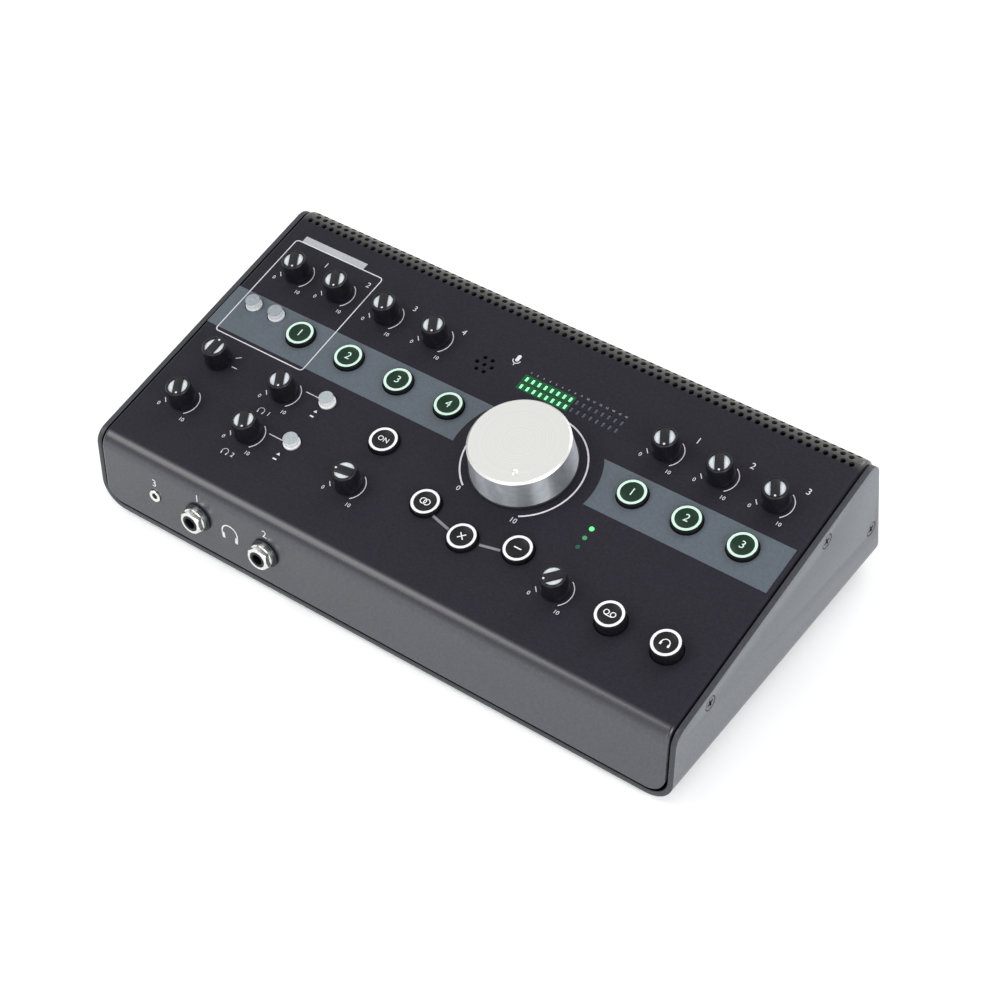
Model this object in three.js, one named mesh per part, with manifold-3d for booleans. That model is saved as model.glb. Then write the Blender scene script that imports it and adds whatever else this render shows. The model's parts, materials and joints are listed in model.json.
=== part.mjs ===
// Studio monitor controller for a desk: a low wedge of bent sheet metal with a large volume knob, small level
// knobs, lit push buttons and a level meter on its sloped panel. Millimetres, +Z up, +Y to the rear.
// The origin is under the middle of the object, on the surface that its feet stand on.
import * as THREE from "three";
import { mergeVertices } from "three/addons/utils/BufferGeometryUtils.js";
import Module from "manifold-3d";

const wasm = await Module();
wasm.setup();

// Body. Reaches are measured forwards and backwards from the volume knob's axis, along the underside.
const bodyWidth = 370;
const panelHeight = 66.9;
const frontReach = 98.4;
const rearReach = 103.6;
const panelTilt = 11;
const frontLean = 3.5;
const rearLean = 8.7;

// Sheet metal.
const wallThickness = 3.2;
const sheetThickness = 1.6;
const baseBendRadius = 15;
const bendFlats = 4;
const frontBendRadius = 10.5;
const rearBendRadius = 10.4;
const flangeBendRadius = 2;
const flangeWidth = 14;
const coverProud = 1.4;
const bottomGap = 3;
const leastBendRadius = 1.3;

// Fits.
const seatGap = 0.3;
const holeClearance = 0.5;
const cutOverrun = 2;

// Feet and side screws.
const footRadius = 7;
const footHeight = 4;
const footInset = 26;
const screwHeadRadius = 3.8;
const screwShankRadius = 2;
const screwLength = 7;
const screwCountersink = 1.8;
const screwSink = 0.2;
const screwInset = 9;

// Volume knob.
const volumeBaseRadius = 28.4;
const volumeTopRadius = 27;
const volumeHeight = 19.3;
const volumeEdge = 1;
const volumeLift = 0.9;
const volumeRecessRadius = 9.5;
const volumeRecessDepth = 5.4;
const volumeDimpleRadius = 1.6;
const volumeDimpleDepth = 0.7;
const volumeDimplePlace = 20;
const volumeShaftEnd = 6;

// Small knobs.
const knobBaseRadius = 7.5;
const knobTopRadius = 6.3;
const knobHeight = 12.6;
const knobLift = 0.8;
const knobBarWidth = 5;
const knobInlayRadius = 5.5;
const knobInlayDepth = 0.6;
const shaftRadius = 3;

// Lit buttons and push switches.
const buttonRadius = 8.2;
const buttonHeight = 2.8;
const tallButtonHeight = 7;
const buttonTravel = 1.4;
const capDepth = 2.6;
const stemRadius = 2;
const switchRadius = 4.1;
const switchHeight = 4.6;
const switchCollarRadius = 4.7;
const switchCollarHeight = 0.8;

// Meter, status lamps and microphone.
const meterColumns = 16;
const meterPitch = 4;
const meterRowGap = 5.3;
const meterWindowWidth = 2;
const meterWindowLength = 3.4;
const lampRadius = 1.2;
const lampPitch = 6.3;
const microphoneRadius = 5.6;
const microphoneHoleRadius = 1.2;
const microphoneHolePitch = 4.8;
const microphoneHoles = 6;

// Ventilation holes along the rear bend. The first row is just before the bend.
const ventPitch = 5;
const ventRadius = 1.5;
const ventRowGap = 4.33;
const ventRows = 3;
const ventSides = 4;
const ventLead = 0.8;
const ventMargin = 6.5;

// Boards inside.
const boardThickness = 1.6;
const boardDrop = 13;
const potWidth = 9.5;
const potTop = 4;
const switchBodyWidth = 7.6;
const switchBodyTop = 6;
const postRadius = 2.5;
const mainBoardRise = 5;
const mainBoardMargin = 20;

// Sockets.
const bushingRadius = 4.5;
const jackBore = 3.2;
const jackBodyWidth = 15;
const jackBodyDepth = 24;
const nutReach = 7;
const washerRadius = 8.5;
const washerThickness = 1.4;
const collarRadius = 7.1;
const collarHeight = 4;
const nutCornerRadius = 7.35;
const jackRise = 27;
const smallJackRadius = 3.6;
const smallJackBore = 1.8;
const smallJackRise = 25.5;
const smallJackProud = 1.2;
const smallJackBodyWidth = 8;
const smallJackDepth = 14;
const rearJackColumns = 7;
const rearJackRowGap = 26;
const rearRowRise = 24;
const rearJackDepth = 20;
const rearNutReach = 3;
const comboWidth = 26;
const comboHeight = 31;
const comboFlange = 1.6;
const comboRadius = 11.7;
const comboGrooveOuter = 9.7;
const comboGrooveInner = 8.2;
const comboGrooveDepth = 12;
const usbWidth = 12;
const usbHeight = 11;
const usbMouthWidth = 8.6;
const usbMouthHeight = 7.8;
const usbTongueWidth = 5.6;
const usbTongueHeight = 3.2;
const usbMouthDepth = 9;
const inletRadius = 5.2;
const inletBore = 3;
const inletPinRadius = 1;
const inletDepth = 10;
const powerButtonWidth = 9;
const powerButtonReach = 4;
const powerTravel = 2.4;

// Places across the panel, as shares of the body's width from its middle.
const columnShares = {
  preampLeft: -0.4216,
  preampRight: -0.3427,
  phones: -0.2973,
  lineOne: -0.2519,
  lineTwo: -0.1611,
  computer: -0.0703,
  studio: -0.1141,
  volume: 0.0808,
  talk: 0.2389,
  outputOne: 0.2424,
  outputTwo: 0.3303,
  outputThree: 0.4181,
};

// Places up the slope from the volume knob's axis, as shares of the body's depth.
const rowShares = {
  gains: 0.2238,
  trims: 0.2094,
  buttons: 0.0535,
  upper: -0.1233,
  lower: -0.2767,
  talkback: -0.2847,
};
const muteDropShare = -0.2684;
const monoDropShare = -0.2282;
const monoSideShare = 0.0784;
const preampSwitchSideShare = 0.0216;
const preampSwitchRowShare = 0.0767;
const phonesSwitchSideShare = 0.0665;
const phonesSwitchRowShare = 0.031;
const meterStartShare = -0.0014;
const meterRowShare = 0.2287;
const lampColumnShare = 0.2252;
const lampRowShare = -0.0827;
const microphoneColumnShare = -0.0708;
const microphoneRowShare = 0.2144;

// Other shares.
const screwTopShares = [0.13, 0.75];
const screwRearShare = 0.4;
const frontJackShares = [-0.3049, -0.18];
const smallJackShare = -0.3878;
const rearJackStartShare = -0.2;
const rearJackPitchShare = 0.054;
const comboShares = [0.24, 0.35];
const usbShare = -0.28;
const inletShare = -0.43;
const powerButtonShare = -0.36;
const controlBoardShares = { left: -0.455, right: 0.455, front: -0.325, rear: 0.285 };
const postColumnShares = [-0.435, 0, 0.36];
const postRowShares = [-0.31, 0.27];
const rearBoardShares = { left: -0.46, right: 0.4 };

// Knob pointers, in degrees clockwise from straight up the panel.
const dialEnd = 150;
const knobTurns = { cueSource: 0, studio: -99, talkback: -137 };

const degrees = THREE.MathUtils.degToRad;
const frontTurn = degrees(90 - panelTilt - frontLean);
const rearTurn = degrees(90 + panelTilt - rearLean);
const bodyDepth = frontReach + rearReach;
const panelRise = footHeight + panelHeight;
const coverHalfWidth = bodyWidth / 2 - wallThickness - seatGap;
const coverFloor = footHeight + wallThickness + bottomGap;
const boardTop = -boardDrop;
const travelRoom = buttonTravel + seatGap;

// Materials.
const darkPaint = new THREE.MeshStandardMaterial({ color: 0x2d2b31, roughness: 0.5, metalness: 0.3 });
const greyPaint = new THREE.MeshStandardMaterial({ color: 0x61656c, roughness: 0.45, metalness: 0.4 });
const aluminium = new THREE.MeshStandardMaterial({ color: 0xe2e2e0, roughness: 0.25, metalness: 0.9 });
const blackPlastic = new THREE.MeshStandardMaterial({ color: 0x15151b, roughness: 0.5, metalness: 0 });
const litPlastic = new THREE.MeshStandardMaterial({ color: 0x1b4a2c, roughness: 0.4, metalness: 0 });
const palePlastic = new THREE.MeshStandardMaterial({ color: 0xc9d2d6, roughness: 0.4, metalness: 0 });
const nickel = new THREE.MeshStandardMaterial({ color: 0xd8d8d8, roughness: 0.2, metalness: 1 });
const blackSteel = new THREE.MeshStandardMaterial({ color: 0x202024, roughness: 0.4, metalness: 0.8 });
const rubber = new THREE.MeshStandardMaterial({ color: 0x1b1b1b, roughness: 0.9, metalness: 0 });
const circuitBoard = new THREE.MeshStandardMaterial({ color: 0x1c5a38, roughness: 0.6, metalness: 0 });

// A closed geometry as a solid that can be joined and cut.
function solid(geometry) {
  const bare = new THREE.BufferGeometry();
  bare.setAttribute("position", geometry.getAttribute("position"));
  if (geometry.index) bare.setIndex(geometry.index);
  const merged = mergeVertices(bare, 1e-4);
  const corners = merged.index.array;
  const kept = [];
  for (let i = 0; i < corners.length; i += 3) {
    const [a, b, c] = [corners[i], corners[i + 1], corners[i + 2]];
    if (a !== b && b !== c && c !== a) kept.push(a, b, c);
  }
  const vertProperties = merged.attributes.position.array;
  return new wasm.Manifold(new wasm.Mesh({ numProp: 3, vertProperties, triVerts: new Uint32Array(kept) }));
}

function geometryOf(shape) {
  const { numProp, numVert, vertProperties, triVerts } = shape.getMesh();
  const positions = new Float32Array(numVert * 3);
  for (let i = 0; i < numVert; i++) {
    positions.set(vertProperties.subarray(i * numProp, i * numProp + 3), i * 3);
  }
  const geometry = new THREE.BufferGeometry();
  geometry.setAttribute("position", new THREE.BufferAttribute(positions, 3));
  geometry.setIndex(new THREE.BufferAttribute(new Uint32Array(triVerts), 1));
  geometry.computeVertexNormals();
  return geometry;
}

const moved = (shape, frame) => solid(geometryOf(shape).applyMatrix4(frame));

const join = (...shapes) => shapes.flat().reduce((whole, piece) => whole.add(piece));
const cut = (shape, ...tools) => shape.subtract(join(...tools));

// A solid turned about Z from a profile of [radius, height] points.
function turned(profile, sides, frame = new THREE.Matrix4()) {
  const points = profile.map(([radius, height]) => new THREE.Vector2(radius, height));
  const geometry = new THREE.LatheGeometry(points, sides).rotateX(Math.PI / 2);
  return solid(geometry.applyMatrix4(frame));
}

const rod = (radius, low, high, sides, frame) =>
  turned([[0, low], [radius, low], [radius, high], [0, high]], sides, frame);

// A round to cut away: its flats, not its corners, keep the radius, so that a round piece clears them.
const drill = (radius, low, high, sides, frame) => rod(radius / Math.cos(Math.PI / sides), low, high, sides, frame);

// A hollow round: its bore runs right through.
const sleeve = (outer, inner, low, high, sides, frame) =>
  turned([[inner, low], [outer, low], [outer, high], [inner, high], [inner, low]], sides, frame);

// A block from its lowest to its highest corner.
function block(low, high, frame = new THREE.Matrix4()) {
  const size = high.map((value, axis) => value - low[axis]);
  const middle = high.map((value, axis) => (value + low[axis]) / 2);
  const geometry = new THREE.BoxGeometry(...size).translate(...middle);
  return solid(geometry.applyMatrix4(frame));
}

const shifted = (frame, x, y, z = 0) => frame.clone().multiply(new THREE.Matrix4().makeTranslation(x, y, z));

// Frames of the sloped panel, the front face and the rear face. In each, X runs across, Y up the face and
// Z out of it. The panel's own origin lies on the line of the volume knob's axis.
const panelFrame = new THREE.Matrix4()
  .makeRotationX(degrees(panelTilt))
  .premultiply(new THREE.Matrix4().makeTranslation(0, 0, panelRise));
const frontFrame = new THREE.Matrix4()
  .makeRotationX(degrees(90 - frontLean))
  .premultiply(new THREE.Matrix4().makeTranslation(0, -frontReach, footHeight));
const rearFrame = new THREE.Matrix4()
  .makeRotationX(degrees(rearLean - 90))
  .multiply(new THREE.Matrix4().makeRotationZ(Math.PI))
  .premultiply(new THREE.Matrix4().makeTranslation(0, rearReach, footHeight));

// The side outline as three lines in (y, z): up the front, back along the panel and down the rear.
// Their inner side is on the right.
const frontLine = { at: [-frontReach, footHeight], along: [Math.sin(degrees(frontLean)), Math.cos(degrees(frontLean))] };
const panelLine = { at: [0, panelRise], along: [Math.cos(degrees(panelTilt)), Math.sin(degrees(panelTilt))] };
const rearLine = { at: [rearReach, footHeight], along: [Math.sin(degrees(rearLean)), -Math.cos(degrees(rearLean))] };
const inward = ({ along: [y, z] }) => [z, -y];

function insetPoint(line, inset) {
  const [y, z] = inward(line);
  return [line.at[0] + y * inset, line.at[1] + z * inset];
}

function meet(lineA, lineB, inset) {
  const [ay, az] = insetPoint(lineA, inset);
  const [by, bz] = insetPoint(lineB, inset);
  const [uy, uz] = lineA.along;
  const [vy, vz] = lineB.along;
  const steps = ((by - ay) * vz - (bz - az) * vy) / (uy * vz - uz * vy);
  return [ay + uy * steps, az + uz * steps];
}

function atHeight(line, inset, height) {
  const [y, z] = insetPoint(line, inset);
  const steps = (height - z) / line.along[1];
  return [y + line.along[0] * steps, height];
}

// Flats of each bend, as turns from its start: even ones in front, and one under each row of holes at the rear.
const frontFlats = Array.from({ length: bendFlats + 1 }, (_, i) => (i / bendFlats) * frontTurn);
const rearFlats = [0];
for (let arc = ventRowGap - ventLead; arc < rearTurn * rearBendRadius - ventRadius; arc += ventRowGap) {
  rearFlats.push(arc / rearBendRadius);
}
rearFlats.push(rearTurn);

// Corners of the bend between two lines, where its flats meet, round the centre that every inset shares.
function bend(lineA, lineB, radius, inset, flats) {
  const inner = Math.max(radius - inset, leastBendRadius);
  const [cy, cz] = meet(lineA, lineB, inset + inner);
  const start = Math.atan2(-inward(lineA)[1], -inward(lineA)[0]);
  return flats.slice(1).map((turn, i) => {
    const reach = inner / Math.cos((turn - flats[i]) / 2);
    const angle = start - (turn + flats[i]) / 2;
    return [cy + reach * Math.cos(angle), cz + reach * Math.sin(angle)];
  });
}

// The whole side outline, moved in by an inset: anticlockwise seen from +X, starting at the rear's foot.
function sideOutline(inset, floor) {
  return [
    atHeight(frontLine, inset, floor),
    ...bend(frontLine, panelLine, frontBendRadius, inset, frontFlats),
    ...bend(panelLine, rearLine, rearBendRadius, inset, rearFlats),
    atHeight(rearLine, inset, floor),
  ].reverse();
}

// A solid through like outlines in (y, z), one at each place along X, each anticlockwise seen from +X.
function loft(stations) {
  const count = stations[0].outline.length;
  const positions = stations.flatMap(({ x, outline }) => outline.flatMap(([y, z]) => [x, y, z]));
  const index = [];
  for (let s = 0; s + 1 < stations.length; s++) {
    for (let i = 0; i < count; i++) {
      const [a, b] = [s * count + i, s * count + ((i + 1) % count)];
      index.push(a, b, b + count, a, b + count, a + count);
    }
  }
  const flat = stations[0].outline.map(([y, z]) => new THREE.Vector2(y, z));
  const last = (stations.length - 1) * count;
  for (const [a, b, c] of THREE.ShapeUtils.triangulateShape(flat, [])) {
    index.push(a, c, b, last + a, last + b, last + c);
  }
  const geometry = new THREE.BufferGeometry();
  geometry.setAttribute("position", new THREE.Float32BufferAttribute(positions, 3));
  geometry.setIndex(index);
  return solid(geometry);
}

const straight = (outline, left, right) => loft([{ x: left, outline }, { x: right, outline }]);

// A prism of an outline in (x, z), run along Y between two places.
function alongY(points, front, rear) {
  const shape = new THREE.Shape(points.map(([x, z]) => new THREE.Vector2(x, z)));
  const geometry = new THREE.ExtrudeGeometry(shape, { depth: rear - front, bevelEnabled: false });
  return solid(geometry.rotateX(Math.PI / 2).translate(0, rear, 0));
}

// A U in (x, z): straight sides, a flat floor and round lower corners.
function cradle(half, floor, top, radius, steps = 4) {
  const corner = (side) =>
    Array.from({ length: steps + 1 }, (_, i) => {
      const angle = (Math.PI / 2) * (side > 0 ? 1 - i / steps : i / steps);
      return [side * (half - radius + radius * Math.sin(angle)), floor + radius * (1 - Math.cos(angle))];
    });
  return [[-half, top], [half, top], ...corner(1), ...corner(-1)];
}

// Places of the controls on the panel.
const across = (share) => share * bodyWidth;
const upSlope = (share) => share * bodyDepth;
const volumeX = across(columnShares.volume);
const place = (column, row) => [across(columnShares[column]), upSlope(rowShares[row])];

const knobs = [
  ["preamp_1_gain_knob", ...place("preampLeft", "gains"), dialEnd],
  ["preamp_2_gain_knob", ...place("preampRight", "gains"), dialEnd],
  ["line_2_trim_knob", ...place("lineOne", "gains"), dialEnd],
  ["line_3_trim_knob", ...place("lineTwo", "gains"), dialEnd],
  ["output_1_trim_knob", ...place("outputOne", "trims"), dialEnd],
  ["output_2_trim_knob", ...place("outputTwo", "trims"), dialEnd],
  ["output_3_trim_knob", ...place("outputThree", "trims"), dialEnd],
  ["cue_source_knob", ...place("preampLeft", "upper"), knobTurns.cueSource],
  ["direct_mix_knob", ...place("preampLeft", "lower"), dialEnd],
  ["phones_1_level_knob", ...place("phones", "upper"), dialEnd],
  ["phones_2_level_knob", ...place("phones", "lower"), dialEnd],
  ["studio_level_knob", ...place("studio", "lower"), knobTurns.studio],
  ["talkback_level_knob", ...place("talk", "lower"), knobTurns.talkback],
];

const monoSide = across(monoSideShare);
const monoRow = upSlope(monoDropShare);
const buttons = [
  ["source_1_button", ...place("preampRight", "buttons"), buttonHeight],
  ["source_2_button", ...place("lineOne", "buttons"), buttonHeight],
  ["source_3_button", ...place("lineTwo", "buttons"), buttonHeight],
  ["source_4_button", ...place("computer", "buttons"), buttonHeight],
  ["output_1_button", ...place("outputOne", "buttons"), buttonHeight],
  ["output_2_button", ...place("outputTwo", "buttons"), buttonHeight],
  ["output_3_button", ...place("outputThree", "buttons"), buttonHeight],
  ["studio_on_button", ...place("studio", "upper"), buttonHeight],
  ["mono_button", volumeX - monoSide, monoRow, buttonHeight],
  ["mute_button", volumeX, upSlope(muteDropShare), buttonHeight],
  ["dim_button", volumeX + monoSide, monoRow, buttonHeight],
  ["talk_to_recorder_button", ...place("outputTwo", "talkback"), tallButtonHeight],
  ["talk_to_cue_button", ...place("outputThree", "talkback"), tallButtonHeight],
];

const preampX = across(columnShares.preampLeft);
const phonesSwitchX = across(columnShares.phones + phonesSwitchSideShare);
const switches = [
  ["preamp_1_switch", preampX - across(preampSwitchSideShare), upSlope(preampSwitchRowShare)],
  ["preamp_2_switch", preampX + across(preampSwitchSideShare), upSlope(preampSwitchRowShare)],
  ["phones_1_switch", phonesSwitchX, upSlope(rowShares.upper + phonesSwitchRowShare)],
  ["phones_2_switch", phonesSwitchX, upSlope(rowShares.lower + phonesSwitchRowShare)],
];

const meterPlaces = Array.from({ length: 2 * meterColumns }, (_, i) => [
  across(meterStartShare) + (i % meterColumns) * meterPitch,
  upSlope(meterRowShare) - Math.floor(i / meterColumns) * meterRowGap,
]);
const lampPlaces = [0, 1, 2].map((i) => [across(lampColumnShare), upSlope(lampRowShare) - i * lampPitch]);
const microphonePlace = [across(microphoneColumnShare), upSlope(microphoneRowShare)];
const rearJackPlaces = Array.from({ length: 2 * rearJackColumns }, (_, i) => [
  across(rearJackStartShare + (i % rearJackColumns) * rearJackPitchShare),
  rearRowRise + Math.floor(i / rearJackColumns) * rearJackRowGap,
]);
const rearMiddleRise = rearRowRise + rearJackRowGap / 2;

// Side screws, by their places in (y, z) on the right side. The left side mirrors them.
function screwPlaces() {
  const front = meet(frontLine, panelLine, screwInset);
  const rear = meet(panelLine, rearLine, screwInset);
  const foot = atHeight(rearLine, screwInset, coverFloor);
  const between = (a, b, share) => [a[0] + (b[0] - a[0]) * share, a[1] + (b[1] - a[1]) * share];
  const [nearShare, farShare] = screwTopShares;
  const along = [between(front, rear, nearShare), between(front, rear, farShare)];
  return [...along, between(foot, rear, screwRearShare)];
}

// The frame of a side screw: Z points out of the side, from its outer face.
function screwFrame([y, z], side) {
  const turn = new THREE.Matrix4().makeRotationY((side * Math.PI) / 2);
  return turn.premultiply(new THREE.Matrix4().makeTranslation((side * bodyWidth) / 2, y, z));
}

function screwShape(clearance, over, frame) {
  const head = screwHeadRadius + clearance;
  const shank = screwShankRadius + clearance;
  const top = clearance ? over : -screwSink;
  const end = -screwLength - (clearance ? over : 0);
  const profile = [[0, end], [shank, end], [shank, -screwSink - screwCountersink - clearance]];
  return turned([...profile, [head, -screwSink], [head, top], [0, top]].filter(distinct), 6, frame);
}

function distinct([radius, height], i, points) {
  return i === 0 || radius !== points[i - 1][0] || height !== points[i - 1][1];
}

const sides = [["right", 1], ["left", -1]];
const screws = sides.flatMap(([name, side]) =>
  screwPlaces().map((point, i) => [name + "_side_screw_" + (i + 1), screwFrame(point, side)]),
);

// Base: a thick sheet bent to a floor and two sides, cut to the side outline behind the cover's faces.
function baseWrap() {
  const top = panelRise + bodyDepth;
  const outer = alongY(cradle(bodyWidth / 2, footHeight, top, baseBendRadius), -bodyDepth, bodyDepth);
  const inside = cradle(
    bodyWidth / 2 - wallThickness,
    footHeight + wallThickness,
    top + cutOverrun,
    baseBendRadius - wallThickness,
  );
  const channel = outer.subtract(alongY(inside, -bodyDepth - cutOverrun, bodyDepth + cutOverrun));
  const outline = sideOutline(coverProud, footHeight - cutOverrun);
  const trimmed = channel.intersect(straight(outline, -bodyWidth, bodyWidth));
  return cut(trimmed, screws.map(([, frame]) => screwShape(holeClearance, cutOverrun, frame)));
}

// A round hole through a face of the cover, in that face's own frame.
const through = (radius, sideCount, x, y) =>
  drill(radius, -sheetThickness - cutOverrun, cutOverrun, sideCount, new THREE.Matrix4().makeTranslation(x, y, 0));

function slot(width, length, x, y) {
  const reach = sheetThickness + cutOverrun;
  return block([x - width / 2, y - length / 2, -reach], [x + width / 2, y + length / 2, cutOverrun]);
}

// A shape with holes cut square to a face, in the frame of that face.
const pierced = (shape, frame, holes) => moved(cut(moved(shape, frame.clone().invert()), holes), frame);

// Holes in rows along the rear bend, each row square to its own flat and each second row set half a pitch over.
function ventHoles() {
  const [cy, cz] = meet(panelLine, rearLine, rearBendRadius);
  const count = 1 + 2 * Math.floor((coverHalfWidth - ventMargin) / ventPitch);
  const low = rearBendRadius - sheetThickness - cutOverrun;
  const quarter = new THREE.Matrix4().makeRotationZ(Math.PI / ventSides);
  const holes = [];
  for (let row = 0; row < ventRows; row++) {
    const arc = row * ventRowGap - ventLead;
    const turn = Math.max(arc, 0) / rearBendRadius;
    const flat = new THREE.Matrix4().makeRotationX(degrees(panelTilt) - turn);
    flat.premultiply(new THREE.Matrix4().makeTranslation(0, cy, cz));
    const inRow = count - (row % 2);
    for (let i = 0; i < inRow; i++) {
      const place = shifted(flat, (i - (inRow - 1) / 2) * ventPitch, Math.min(arc, 0));
      holes.push(rod(ventRadius, low, rearBendRadius + cutOverrun, ventSides, place.multiply(quarter)));
    }
  }
  return holes;
}

function panelHoles() {
  const shaft = shaftRadius + holeClearance;
  const mic = microphonePlace;
  const micHoles = Array.from({ length: microphoneHoles }, (_, i) => {
    const angle = (i / microphoneHoles) * 2 * Math.PI;
    return [mic[0] + microphoneHolePitch * Math.cos(angle), mic[1] + microphoneHolePitch * Math.sin(angle)];
  });
  return [
    ...knobs.map(([, x, y]) => through(shaft, 6, x, y)),
    ...buttons.map(([, x, y]) => through(buttonRadius + holeClearance, 12, x, y)),
    ...switches.map(([, x, y]) => through(switchCollarRadius + holeClearance, 10, x, y)),
    ...meterPlaces.map(([x, y]) => slot(meterWindowWidth, meterWindowLength, x, y)),
    ...lampPlaces.map(([x, y]) => through(lampRadius + seatGap, 6, x, y)),
    ...[mic, ...micHoles].map(([x, y]) => through(microphoneHoleRadius, ventSides, x, y)),
    through(bushingRadius + seatGap, 12, volumeX, 0),
  ];
}

const frontHoles = () => [
  ...frontJackShares.map((share) => through(bushingRadius + seatGap, 12, across(share), jackRise)),
  through(smallJackRadius + seatGap, 12, across(smallJackShare), smallJackRise),
];

function rearHoles() {
  const button = powerButtonWidth + 2 * holeClearance;
  return [
    ...rearJackPlaces.map(([x, y]) => through(bushingRadius + seatGap, 6, x, y)),
    ...comboShares.map((share) => through(comboRadius + seatGap, 12, across(share), rearMiddleRise)),
    slot(usbWidth + 2 * seatGap, usbHeight + 2 * seatGap, across(usbShare), rearRowRise),
    through(inletRadius + seatGap, 12, across(inletShare), rearRowRise),
    slot(button, button, across(powerButtonShare), rearRowRise),
  ];
}

// Cover: one sheet bent to front, panel and rear, with folded flanges inside the base's sides.
function topCover() {
  const stations = [];
  for (const side of [-1, 1]) {
    for (let i = 0; i <= 3; i++) {
      const angle = ((side < 0 ? 3 - i : i) * Math.PI) / 6;
      const x = side * (coverHalfWidth - flangeBendRadius * (1 - Math.sin(angle)));
      const inset = flangeBendRadius * (1 - Math.cos(angle));
      stations.push({ x, outline: sideOutline(inset, coverFloor) });
    }
  }
  const lowerRadius = baseBendRadius - wallThickness - seatGap;
  const faces = cradle(coverHalfWidth, coverFloor, panelRise + bodyDepth, lowerRadius);
  const outer = loft(stations).intersect(alongY(faces, -bodyDepth, bodyDepth));
  const below = footHeight - cutOverrun;
  const innerHalf = coverHalfWidth - sheetThickness;
  const inner = straight(sideOutline(sheetThickness, below), -innerHalf, innerHalf);
  const window = straight(sideOutline(flangeWidth, below), -bodyWidth, bodyWidth);
  const holes = screws.map(([, frame]) => drill(screwShankRadius + seatGap, -screwLength - cutOverrun, 0, 6, frame));
  const sheet = cut(outer, inner, window, holes);
  const faced = pierced(pierced(sheet, frontFrame, frontHoles()), rearFrame, rearHoles());
  return cut(pierced(faced, panelFrame, panelHoles()), ventHoles());
}

// Volume knob: turned, slightly tapered and hollow below for the bushing nut, with a dimple for a pointer.
function volumeKnob() {
  const ceiling = volumeLift + volumeRecessDepth;
  const body = turned(
    [
      [0, volumeLift],
      [volumeBaseRadius, volumeLift],
      [volumeTopRadius, volumeHeight - volumeEdge],
      [volumeTopRadius - volumeEdge, volumeHeight],
      [0, volumeHeight],
    ],
    32,
  );
  const above = volumeHeight + volumeEdge;
  const dimple = turned(
    [[0, volumeHeight - volumeDimpleDepth], [volumeDimpleRadius, above], [0, above]],
    6,
    new THREE.Matrix4().makeTranslation(0, volumeDimplePlace, 0),
  );
  const hollow = cut(body, rod(volumeRecessRadius, 0, ceiling, 12), dimple);
  return hollow.add(rod(shaftRadius, -volumeShaftEnd, ceiling + seatGap, 8));
}

// Small knob: tapered, with a bar across its top between two sunk crescents, on its own shaft.
function smallKnob() {
  const shaftEnd = -potTop + seatGap;
  const skirt = turned(
    [
      [0, knobLift],
      [knobBaseRadius, knobLift],
      [knobTopRadius, knobHeight],
      [0, knobHeight],
    ],
    12,
  );
  const body = skirt.add(rod(shaftRadius, shaftEnd, knobLift + seatGap, 6));
  const sunk = rod(knobInlayRadius, knobHeight - knobInlayDepth, knobHeight + cutOverrun, 8);
  const half = knobBarWidth / 2;
  const bar = block([-half, -knobBaseRadius, 0], [half, knobBaseRadius, knobHeight + 2 * cutOverrun]);
  return cut(body, sunk.subtract(bar));
}

// A cap on a short stem that ends above its switch by the travel.
const onStem = (cap) => cap.add(rod(stemRadius, travelRoom - switchBodyTop, seatGap - capDepth, 6));

const pushButton = (height) => onStem(rod(buttonRadius, -capDepth, height, 12));

function pushSwitch() {
  const cap = turned(
    [
      [0, -capDepth],
      [switchCollarRadius, -capDepth],
      [switchCollarRadius, switchCollarHeight],
      [switchRadius, switchCollarHeight],
      [switchRadius, switchHeight],
      [0, switchHeight],
    ],
    10,
  );
  return onStem(cap);
}

// Control board: carries every pot, switch body and status lamp, and hangs from posts under the panel.
function controlBoard() {
  const { left, right, front, rear } = controlBoardShares;
  const base = boardTop - boardThickness;
  const slab = block([across(left), upSlope(front), base], [across(right), upSlope(rear), boardTop]);
  const half = potWidth / 2;
  const pots = knobs.map(([, x, y]) => block([x - half, y - half, boardTop], [x + half, y + half, -potTop]));
  const bodyHalf = switchBodyWidth / 2;
  const presses = [...buttons, ...switches];
  const bodies = presses.map(([, x, y]) =>
    block([x - bodyHalf, y - bodyHalf, boardTop], [x + bodyHalf, y + bodyHalf, -switchBodyTop]),
  );
  const lamps = lampPlaces.map(([x, y]) =>
    rod(lampRadius, boardTop, -seatGap, 6, new THREE.Matrix4().makeTranslation(x, y, 0)),
  );
  const posts = postColumnShares.flatMap((column) =>
    postRowShares.map((row) => {
      const frame = new THREE.Matrix4().makeTranslation(across(column), upSlope(row), 0);
      return rod(postRadius, boardTop, -sheetThickness - seatGap, 6, frame);
    }),
  );
  return join(slab, pots, bodies, lamps, posts);
}

// Volume control: its bushing comes up through the panel and carries the nut that clamps it.
function volumeControl() {
  const half = potWidth;
  const under = -sheetThickness - seatGap;
  const body = block([-half, -half, boardTop + seatGap], [half, half, under]);
  const nutTop = volumeLift + volumeRecessDepth / 2;
  const bushing = rod(bushingRadius, under - cutOverrun, volumeLift + volumeRecessDepth - seatGap * 2, 12);
  const nut = rod(nutCornerRadius, seatGap, nutTop, 6);
  const bore = drill(shaftRadius + seatGap, -volumeShaftEnd - cutOverrun, volumeHeight, 10);
  return cut(join(body, bushing, nut), bore);
}

// Level meter: a light guide under all the windows.
function levelMeter() {
  const xs = meterPlaces.map(([x]) => x);
  const ys = meterPlaces.map(([, y]) => y);
  return block(
    [Math.min(...xs) - meterWindowWidth, Math.min(...ys) - meterWindowLength, boardTop + seatGap],
    [Math.max(...xs) + meterWindowWidth, Math.max(...ys) + meterWindowLength, -sheetThickness - seatGap],
  );
}

const microphone = () => rod(microphoneRadius, boardTop + seatGap, -sheetThickness - seatGap, 12);

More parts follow.
